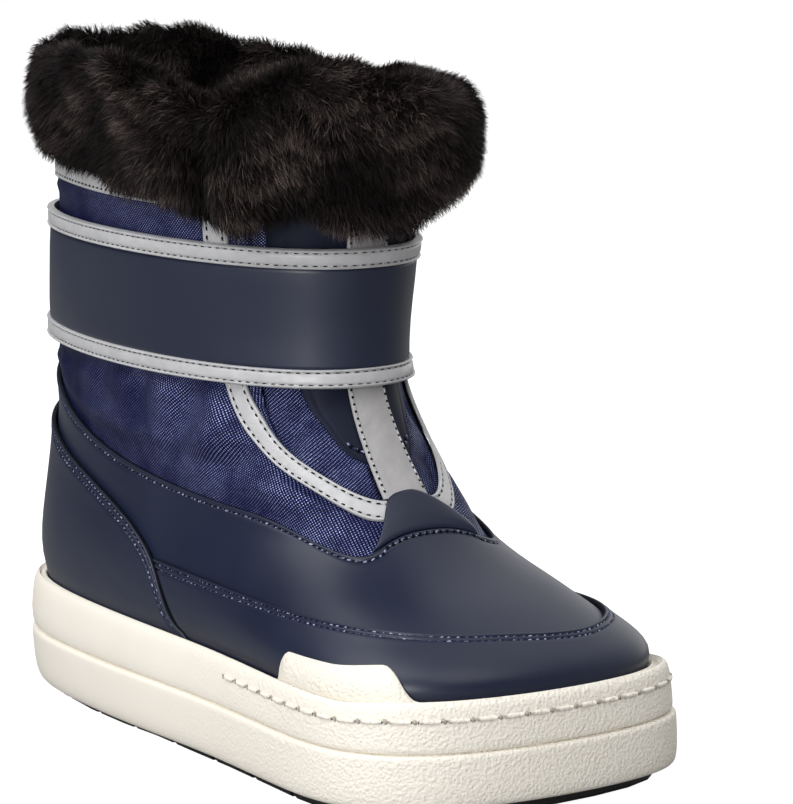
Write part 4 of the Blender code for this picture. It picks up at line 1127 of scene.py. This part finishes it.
# Stitches: threads and dark holes of painted shade, of one template, many copies in one mesh. Sizes are
# along, across and high
stitchKinds = {
    "navy": {
        "pitch": 0.00255, "thread": (0.00185, 0.00085, 0.00090), "lift": 0.00018, "lean": 0.28,
        "hole": (0.00190, 0.00150, 0.00034), "holeLift": 0.00010, "holeLean": 0.35,
    },
    "throat": {
        "pitch": 0.0029, "thread": (0.0020, 0.00060, 0.00055), "lift": 0.00005, "lean": 0.06,
        "hole": (0.00160, 0.00120, 0.00032), "holeLift": 0.00009, "holeLean": 0.40,
    },
    "collar": {
        "pitch": 0.0030, "thread": (0.0021, 0.00060, 0.00055), "lift": 0.00005, "lean": 0.06,
        "hole": (0.00160, 0.00120, 0.00032), "holeLift": 0.00009, "holeLean": 0.40,
    },
    "strap": {
        "pitch": 0.0031, "thread": (0.0022, 0.00060, 0.00055), "lift": 0.00005, "lean": 0.06,
        "hole": (0.00165, 0.00125, 0.00032), "holeLift": 0.00009, "holeLean": 0.40,
    },
    "strip": {
        "pitch": 0.0023, "thread": (0.00175, 0.00055, 0.00050), "lift": 0.00010, "lean": 0.05,
        "hole": (0.00095, 0.00085, 0.00028), "holeLift": 0.00007, "holeLean": 0.3,
    },
}
# Where rows of stitches lie: metres from a panel's edge, shares of a tape's width, heights as shares of thickness
stitchRows = {
    "double": (0.0013, 0.0032), "single": 0.0026, "nearTab": 0.0012,
    "tape": (0.175, 0.825), "collar": (0.0013, 0.0062),
    "panelHeight": 0.72, "vampHeight": 0.66, "tabHeight": 0.28, "tapeHeight": 0.76, "stripHeight": 1.12,
}
ringPlaces = np.array([(-0.43, 0.6), (-0.22, 1.0), (0.22, 1.0), (0.43, 0.6)])


def capsule(sides=5):
    # A rod along x, 1 long and 1 thick, with a point at each end and four rings between
    turn = np.linspace(0, 2 * np.pi, sides, endpoint=False)
    y, z = np.cos(turn) / 2, np.sin(turn) / 2
    rings = [np.stack([np.full(sides, x), r * y, r * z], -1) for x, r in ringPlaces]
    points = np.concatenate([[(-0.5, 0, 0)]] + rings + [[(0.5, 0, 0)]])
    k = np.arange(sides)
    following = (k + 1) % sides
    last = 1 + 3 * sides
    start = np.stack([np.zeros_like(k), 1 + following, 1 + k], -1)
    end = np.stack([np.full_like(k, last + sides), last + k, last + following], -1)
    return points, np.concatenate([start, end]), quadsOf(4, sides, False, True, start=1)


class StitchBook:
    # Gathers where copies of the capsule go: centre, direction, normal and size
    def __init__(self):
        self.parts = []

    def run(self, path, normals, pitch, size, lift, phase=0.5, lean=0.0):
        # Copies at equal steps along the path, turned by lean in the surface and lifted off it
        length = np.concatenate([[0], np.cumsum(np.linalg.norm(np.diff(path, axis=0), axis=1))])

        def read(values, at):
            # Each of x, y and z in a straight line between the path's points
            return np.stack([np.interp(at, length, values[:, k]) for k in range(3)], -1)

        count = int(length[-1] / pitch)
        at = (np.arange(count) + phase) * length[-1] / count
        at = at[at < length[-1]]
        centre, normal = read(path, at), read(normals, at)
        forward = read(path, at + 2e-4) - read(path, at - 2e-4)
        forward /= np.linalg.norm(forward, axis=1, keepdims=True)
        side = np.cross(normal, forward)
        side /= np.linalg.norm(side, axis=1, keepdims=True)
        forward = forward * math.cos(lean) + side * math.sin(lean)
        sizes = np.broadcast_to(np.asarray(size, float), centre.shape)
        self.parts.append((centre + normal * lift, forward, np.cross(normal, forward), normal, sizes))

    def make(self, name, material, slot):
        # centre + x forward + y side + z normal for each point of the template, all copies in one mesh
        points, caps, quads = capsule()
        joined = (np.concatenate([part[k] for part in self.parts]) for k in range(5))
        centre, forward, side, normal, size = joined
        local = points[None] * size[:, None]
        placed = centre[:, None] + local[..., :1] * forward[:, None] + local[..., 1:2] * side[:, None]
        placed = placed + local[..., 2:] * normal[:, None]
        shift = (np.arange(len(centre)) * len(points))[:, None, None]
        faces = [(caps[None] + shift).reshape(-1, 3), (quads[None] + shift).reshape(-1, 4)]
        makePiece(name, placed, faces, [material], [])
        print(name, len(centre))


navyStitches, greyStitches, holeShades, moulded, notchShades = (StitchBook() for book in range(5))


def sew(kind, angle, level, out):
    # A row of slanted threads along a path over the upper, and a dark hole of painted shade between each two
    look = stitchKinds[kind]
    book = navyStitches if kind == "navy" else greyStitches
    path, normals = laid(angle, level, out), slopes(angle, level)[2]
    book.run(path, normals, look["pitch"], look["thread"], look["lift"], 0.5, look["lean"])
    holeShades.run(path, normals, look["pitch"], look["hole"], look["holeLift"], 0.0, look["holeLean"])


def sewPanels():
    # One row along the vamp's edge, two along the rand's and the counter's
    angle = np.linspace(0, 2 * np.pi, 900)
    top, atTab = bothSides(panelTop, angle), nearTab(angle)
    away = stitchRows["single"] - stitchRows["nearTab"] * atTab
    out = onNylon + layer["panel"] * (stitchRows["vampHeight"] + stitchRows["tabHeight"] * atTab)
    sew("navy", angle, top - away / metresPerLevel(angle, top), out)
    out = overVamp + layer["panel"] * stitchRows["panelHeight"]
    start = randStart(np.array(2.0)) + 0.02
    angle = np.linspace(start, 2 * np.pi - start, 900)
    top = randTopLevel(angle)
    for away in stitchRows["double"]:
        sew("navy", angle, top - away / metresPerLevel(angle, top), out - randShape["sink"])
    angle, level = counterPath()
    for away in stitchRows["double"]:
        turn, climb = stepAside(angle, level, [-away])
        keep = climb[:, 0] > 0.45
        sew("navy", turn[keep, 0], climb[keep, 0], out)


def sewTapes():
    # Two rows along each tape
    out = onNylon + layer["tape"] * stitchRows["tapeHeight"]
    outer, inner = throatPaths(200)
    for share in stitchRows["tape"]:
        angle, level = (outer[k] + (inner[k] - outer[k]) * share for k in (0, 1))
        sew("throat", angle, level, out)
    angle = collarSpan(400)
    for height in stitchRows["collar"]:
        sew("collar", angle, collarTapeLevel(angle, height), out)
    angle, out = strapPath(700)
    out = out + strap["tapeThick"] / strap["fullness"] * stitchRows["tapeHeight"]
    for base in (strap["low"], strap["high"] - strap["tapeWidth"]):
        for share in stitchRows["tape"]:
            sew("strap", angle, strapLevel(angle, base + strap["tapeWidth"] * share), out)


def sewTongue():
    # A row down each side of the strip, and one round the foot of the panel on each side
    rows = np.linspace(4.80, 8.4, 300)
    for side in (-1, 1):
        turn = np.full(300, np.pi + side * math.radians(6.9))
        sew("strip", turn, rows, onTonguePanel + layer["tape"] * stitchRows["stripHeight"])
    table = panelEdge(0.30, 200)
    for side in (-1, 1):
        turn = np.pi + side * np.radians(table[:, 1] * 0.95 - 0.6)
        sew("navy", turn, table[:, 0] + 0.11, tongueFront + layer["tape"] * 0.95)


mouldedBars = {
    "from": 106.0, "to": 250.0, "pitch": 0.0085, "height": 1.64,
    "bar": (0.0077, 0.0016, 0.0014), "notch": (0.0013, 0.0019, 0.0005),
}


def mouldedStitches():
    # Raised bars and notches between them, darker by painted shade, along a ring of the sole's upper step,
    # round its front
    angle = np.radians(np.linspace(mouldedBars["from"], mouldedBars["to"], 700))
    z = sole["groove"] + (rimHeight(angle)[0] - sole["groove"]) * (mouldedBars["height"] - 1)
    heel, toe = (np.interp(mouldedBars["height"], soleSide[:, 0], soleSide[:, k]) for k in (1, 2))
    inset = stepInset(angle, heel, toe)
    path = soleRing(angle, inset, z)
    outward = path - soleRing(angle, inset + 0.001, z)
    outward /= np.linalg.norm(outward, axis=1, keepdims=True)
    moulded.run(path, outward, mouldedBars["pitch"], mouldedBars["bar"], 0.00002)
    notchShades.run(path, outward, mouldedBars["pitch"], mouldedBars["notch"], 0.00004, 0.0, 0.5)


sewPanels()
sewTapes()
sewTongue()
mouldedStitches()
navyStitches.make("navyStitching", navyThread, "coated_navy")
greyStitches.make("greyStitching", greyThread, "grey_tape")
holeShades.make("stitchHoleShades", stitchHoleShade, "coated_navy")
moulded.make("mouldedStitching", creamRubber, "cream_rubber")
notchShades.make("mouldedNotchShades", creamNotchShade, "cream_rubber")

# Fur: distance from the upper as a share of the cuff's depth, and height from its low edge (0) to its crest (1)
fur = {
    "rise": 0.0160, "height": 0.0600, "sideDepth": 0.0086, "frontDepth": 0.0196, "inset": 0.0030,
    "columns": 320, "rows": 80, "hairs": 51500, "pieces": 3, "length": 0.0050,
    "thick": 0.000097, "thicker": 0.000065,
    "lock": 0.060, "lockRise": 0.055, "lockWave": 0.35, "droop": 0.0009,
    "broadLumps": 0.0030, "smallLumps": 0.0019, "cleft": 0.0040, "cleftAt": 129.0,
    "offWall": 0.0014, "overWall": 0.1995, "wallTop": 0.2005, "tongueRoom": 0.0032,
    "out": [0.62, 0.92, 1.02, 1.03, 0.93, 0.62, 0.15, -0.02, -0.32, -0.40, -0.30],
    "up": [0.00, 0.12, 0.32, 0.55, 0.78, 0.95, 1.00, 0.95, 0.78, 0.60, 0.42],
}
furEdges = np.array([
    (0, 0.283, 0.975), (30, 0.300, 0.917), (50, 0.325, 0.908), (70, 0.290, 0.933), (90, 0.208, 0.892),
    (105, 0.138, 0.825), (120, 0.075, 0.750), (130, 0.020, 0.767), (142, 0.033, 0.850), (152, 0.092, 0.875),
    (170, 0.010, 0.845), (187, 0.020, 0.810), (205, 0.160, 0.770), (240, 0.220, 0.765), (280, 0.250, 0.800),
    (310, 0.283, 0.890), (335, 0.283, 0.975), (360, 0.283, 0.975),
])


def furSurface(angle, w):
    # w runs from the hem (0) up over the crest (0.6) and down inside (1): depth x out(w) off the upper at the
    # height low + (high - low) x up(w)
    degrees = degreesFromBack(angle)
    edges = curveThrough(furEdges[:, 0], furEdges[:, 1:], np.degrees(angle) % 360, closed=True)
    low = boot["collar"] + fur["rise"] - fur["height"] * (1 - edges[..., 0])
    high = boot["collar"] + fur["rise"] - fur["height"] * (1 - edges[..., 1])
    depth = fur["sideDepth"] + (fur["frontDepth"] - fur["sideDepth"]) * ease((degrees - 70) / 90)
    inner = layer["wall"] + layer["gap"] + (layer["tongue"] + 2 * layer["gap"]) * ease((degrees - 95) / 15)
    knots = np.linspace(0, 1, len(fur["out"]))
    out = depth * curveThrough(knots, fur["out"], w) - inner * ease((w - 0.6) / 0.1)
    height = low + (high - low) * curveThrough(knots, fur["up"], w)
    return laid(angle, levelAt(angle, height), out)


def furGrid(columns, rows):
    # The cuff's surface on a grid, with its two directions, its normal and its relief of lumps and a cleft
    angle = np.linspace(0, 2 * np.pi, columns + 1)[:, None]
    w = np.linspace(0, 1, rows)[None]
    angle, w = np.broadcast_arrays(angle, w)
    skin = furSurface(angle, w)
    around = np.roll(skin[:-1], -1, axis=0) - np.roll(skin[:-1], 1, axis=0)
    around = np.concatenate([around, around[:1]])
    over = np.gradient(skin, axis=1)
    around /= np.linalg.norm(around, axis=-1, keepdims=True)
    over /= np.linalg.norm(over, axis=-1, keepdims=True)
    normal = np.cross(around, over)
    normal /= np.linalg.norm(normal, axis=-1, keepdims=True)
    broad = fur["broadLumps"] * waves(21, angle, w, 8, (4, 9), (0.6, 1.8))
    small = fur["smallLumps"] * waves(8, angle, w, 8, (10, 20), (1.5, 4))
    fromCleft = (np.degrees(angle) - fur["cleftAt"] + 6 * w + 180) % 360 - 180
    cleft = np.exp(-fromCleft ** 2 / 18.0) * ease(w / 0.1) * ease((0.75 - w) / 0.2)
    relief = broad + small - fur["cleft"] * cleft
    base = skin + normal * (relief - fur["inset"])[..., None]
    return base, normal, around, over, relief[..., None]


def pick(grid, row, column, s, t):
    # Bilinear reading of a grid
    low = grid[row, column] * ((1 - s) * (1 - t))[:, None] + grid[row + 1, column] * (s * (1 - t))[:, None]
    high = grid[row, column + 1] * ((1 - s) * t)[:, None] + grid[row + 1, column + 1] * (s * t)[:, None]
    return low + high


def closeSkin(base):
    # The cuff's skin carried down inside the wall, over the wall's top edge and down under the hem
    turn = np.linspace(0, 2 * np.pi, len(base))[:-1]
    inside = -layer["wall"] - layer["gap"] - fur["tongueRoom"] * ease((degreesFromBack(turn) - 95) / 15)
    low = laid(turn, levelAt(turn, base[:-1, -1, 2] - 0.001), inside)
    hem = laid(turn, levelAt(turn, base[:-1, 0, 2] + 0.0015), fur["offWall"])
    over = laid(turn, levelAt(turn, np.full(len(turn), fur["overWall"])), fur["offWall"])
    top = (over + low) / 2
    top[:, 2] = fur["wallTop"]
    return np.concatenate([base[:-1]] + [ring[:, None] for ring in (low, top, over, hem)], axis=1)


def hairFlow(a, s):
    # Down on the outside, out at the crest, down again inside, with lazy sideways swirls
    down = np.interp(s, [0, 0.25, 0.45, 0.58, 0.68, 0.85, 1.0], [-1.0, -0.9, -0.55, -0.1, 0.35, 0.8, 0.9])
    sideways = waves(33, a, s, 6, (2, 6), (0, 2)) + 0.5 * waves(34, a, s, 5, (8, 18), (1, 4))
    return 0.85 * down + 0.45 * waves(35, a, s, 5, (3, 9), (1, 3)), sideways


def hairLocks(a, v):
    # Cells round the cuff and up it, each row of cells shifted: the middle of each hair's cell and its tone
    cellV = np.floor(v / fur["lockRise"] + fur["lockWave"] * np.sin(a * 23))
    shift = 0.5 * (cellV % 2) + 0.35 * np.sin(cellV * 7.1)
    cellA = np.floor(a / fur["lock"] + shift)
    middleA = (cellA + 0.5 - shift) * fur["lock"] % (2 * np.pi)
    middleV = np.clip((cellV + 0.5 - fur["lockWave"] * np.sin(middleA * 23)) * fur["lockRise"], 0.01, 0.99)
    return middleA, middleV, 0.5 + 0.5 * np.sin(cellA * 12.9898 + cellV * 78.233)


def makeHairs(number, grids, chance):
    # Each hair is a strip of two faces and a tip, rooted by area, that flows with its neighbours and its lock
    random = np.random.default_rng(100 + number)
    count = fur["hairs"]
    columns, rows = grids[0].shape[0] - 1, grids[0].shape[1]
    cell = np.searchsorted(chance, random.random(count))
    row, column = cell // (rows - 1), cell % (rows - 1)
    s, t = random.random(count), random.random(count)
    root, n, r, o, raised = (pick(grid, row, column, s, t) for grid in grids)
    a, v = 2 * np.pi * (row + s) / columns, (column + t) / (rows - 1)
    down, sideways = hairFlow(a, v)
    lift = 0.62 + 0.25 * np.exp(-((v - 0.6) / 0.12) ** 2) + 0.20 * random.standard_normal(count)
    heading = o * (down * 0.8 + 0.30 * random.standard_normal(count))[:, None] + n * lift[:, None]
    heading = heading + r * (sideways + 0.30 * random.standard_normal(count))[:, None]
    heading /= np.linalg.norm(heading, axis=1, keepdims=True)
    length = fur["length"] * (0.70 + 0.6 * random.random(count))
    # Tips lean to the middle of their lock
    lockA, lockV, lockTone = hairLocks(a, v)
    lr, lc = lockA / (2 * np.pi) * columns, lockV * (rows - 1)
    lockRow, lockColumn = np.clip(lr.astype(int), 0, columns - 1), np.clip(lc.astype(int), 0, rows - 2)
    toCentre = pick(grids[0], lockRow, lockColumn, lr - lockRow, lc - lockColumn) - root
    pull = toCentre * (0.62 * np.exp(-(np.linalg.norm(toCentre, axis=1) / 0.005) ** 2))[:, None]
    middle = root + heading * (length * 0.5)[:, None] + pull * 0.35
    tip = root + heading * length[:, None] + pull - np.array([0, 0, fur["droop"]])
    width = np.cross(heading, n + 0.5 * random.standard_normal((count, 3)))
    width /= np.linalg.norm(width, axis=1, keepdims=True)
    width = width * (fur["thick"] + fur["thicker"] * random.random(count))[:, None]
    points = np.stack([root - width, root + width, middle - width * 0.75, middle + width * 0.75, tip], axis=1)
    first = (np.arange(count) * 5)[:, None]
    faces = [first + np.array([[0, 1, 3, 2]]), first + np.array([[2, 3, 4]])]
    # Painted shade in the hollows and towards the back, painted highlight in broad patches and on a few tips
    # and locks, partly random ash tone
    broad = np.clip(0.42 + 0.5 * waves(51, a, v, 7, (5, 16), (1.0, 3.5)) + raised[:, 0] * 110, 0.08, 1.2)
    broad = broad * (0.55 + 0.80 * ease((degreesFromBack(a) - 60) / 45))
    toneWithPaintedLight = broad * (0.02 + 0.90 * random.random(count) ** 7 + 0.42 * lockTone ** 4 * random.random(count))
    # Painted shade at the roots and painted highlight towards the tips
    tonesWithPaintedLight = np.clip(toneWithPaintedLight[:, None] * np.array([0.05, 0.05, 0.6, 0.6, 1.6])[None], 0, 1).reshape(-1)
    name = "furHairs" + "ABC"[number]
    makePiece(name, points, faces, [blackFur], [], toneWithPaintedLight=tonesWithPaintedLight, orient=False)


def makeFur():
    # A dark skin, then the hairs, as many on each cell of the skin as its area asks
    grids = furGrid(fur["columns"], fur["rows"])
    base = grids[0]
    skin = closeSkin(base)
    faces = quadsOf(skin.shape[0], skin.shape[1], True, True)
    toneWithPaintedLight = np.full(skin.shape[0] * skin.shape[1], 0.03)
    makePiece("furSkin", skin, [faces], [blackFur], ["fur_collar"], toneWithPaintedLight=toneWithPaintedLight)
    ahead, upward = base[1:, :-1] - base[:-1, :-1], base[:-1, 1:] - base[:-1, :-1]
    cells = np.linalg.norm(np.cross(ahead, upward), axis=-1)
    chance = np.cumsum(cells.reshape(-1)) / cells.sum()
    for number in range(fur["pieces"]):
        makeHairs(number, grids, chance)


makeFur()
print("fur made")


studio = {
    "half": 6.0, "floor": 0.30, "floorGlow": 0.97, "nearGlow": 1.90, "nearTurn": 36.0, "surround": 0.92,
    "lampAway": 1.7, "target": (0.06, 0.0, 0.10),
}
# Sides of the surround with a strength of their own: turn in degrees, strength, where it starts
ownSides = [(104.0, 0.26, 0.10), (-72.0, 0.08, 0.0), (236.0, 2.0, 0.60)]
# Name, turn and lift in degrees, size in metres, watts
lamps = [
    ("softLeft", -10.0, 55.0, 1.5, 20.5), ("softFront", 92.0, 52.0, 1.1, 5.8),
    ("softNear", 36.0, 9.0, 0.45, 12.0),
]
view = {
    "turn": 56.0, "lift": 7.93, "roll": -1.05, "distance": 1.1983, "target": (0.1617, 0.0, 0.1142),
    "lens": 173.2,
}


def facing(turn, lift):
    # Unit vectors right, up and back of something that looks at the boot from that turn and lift
    turn, lift = math.radians(turn), math.radians(lift)
    back = np.array([math.sin(turn) * math.cos(lift), -math.cos(turn) * math.cos(lift), math.sin(lift)])
    right = np.array([math.cos(turn), math.sin(turn), 0.0])
    return right, np.cross(back, right), back


def putInScene(thing, right, up, back, place):
    # The unit vectors are the columns of its matrix
    thing.matrix_world = Matrix([(right[k], up[k], back[k], place[k]) for k in range(3)] + [(0, 0, 0, 1)])
    bpy.context.scene.collection.objects.link(thing)


def towards(tree, vector, degrees):
    # x sin(turn) - y cos(turn): how far a vector points to that side
    turn, apart = math.radians(degrees), add(tree, "ShaderNodeSeparateXYZ", {0: vector})
    nearTo = maths(tree, "MULTIPLY", apart.outputs[1], -math.cos(turn))
    return maths(tree, "MULTIPLY_ADD", apart.outputs[0], math.sin(turn), nearTo)


def makeFloor():
    # Pale to the camera, and brightest on the near side to reflections
    half = studio["half"]
    mesh = bpy.data.meshes.new("paleFloor")
    corners = [(-half, -half, 0), (half, -half, 0), (half, half, 0), (-half, half, 0)]
    mesh.from_pydata(corners, [], [(0, 1, 2, 3)])
    material, tree, shader = newMaterial("paleFloor", (studio["floor"],) * 3, 0.9)
    shader.inputs["Emission Color"].default_value = (1, 1, 1, 1)
    ray = add(tree, "ShaderNodeLightPath")
    toNear = towards(tree, add(tree, "ShaderNodeTexCoord").outputs["Object"], studio["nearTurn"])
    glow = rangeOf(tree, toNear, 0.50, 1.0, 0.0, studio["nearGlow"])
    mirrored = maths(tree, "MULTIPLY", ray.outputs["Is Glossy Ray"], glow)
    seen = maths(tree, "MULTIPLY_ADD", ray.outputs["Is Camera Ray"], studio["floorGlow"], mirrored)
    tree.links.new(seen, shader.inputs["Emission Strength"])
    mesh.materials.append(material)
    stage = bpy.data.objects.new("paleFloor", mesh)
    bpy.context.scene.collection.objects.link(stage)


def makeSurround():
    # White to the camera. Elsewhere the surround's strength times each side's own, which starts at its edge
    world = bpy.data.worlds.new("studio")
    world.use_nodes = True
    tree = world.node_tree
    background = tree.nodes["Background"]
    sky = add(tree, "ShaderNodeTexCoord").outputs["Generated"]
    light = studio["surround"]
    for turn, strength, edge in ownSides:
        side = rangeOf(tree, towards(tree, sky, turn), edge, 0.85, 1.0, strength)
        light = maths(tree, "MULTIPLY", light, side)
    seen = add(tree, "ShaderNodeLightPath").outputs["Is Camera Ray"]
    tree.links.new(maths(tree, "MAXIMUM", light, seen), background.inputs["Strength"])
    background.inputs["Color"].default_value = (1.0, 1.0, 1.0, 1.0)
    bpy.context.scene.world = world
    bpy.context.scene.view_settings.view_transform = "Standard"


def makeLamps():
    # Square area lamps on a ball round the boot, each facing its middle
    for name, turn, lift, size, watts in lamps:
        data = bpy.data.lights.new(name, "AREA")
        data.shape = "SQUARE"
        data.size, data.energy = size, watts
        right, up, back = facing(turn, lift)
        place = back * studio["lampAway"] + np.array(studio["target"])
        putInScene(bpy.data.objects.new(name, data), right, up, back, place)


def makeCamera():
    # At the target + back x distance, rolled about its own line of sight
    right, up, back = facing(view["turn"], view["lift"])
    c, s = math.cos(math.radians(view["roll"])), math.sin(math.radians(view["roll"]))
    data = bpy.data.cameras.new("photoCamera")
    data.lens = view["lens"]
    data.clip_start = 0.05
    camera = bpy.data.objects.new("photoCamera", data)
    place = np.array(view["target"]) + back * view["distance"]
    putInScene(camera, right * c + up * s, up * c - right * s, back, place)
    bpy.context.scene.camera = camera


makeFloor()
makeSurround()
makeLamps()
makeCamera()
print("studio ready")
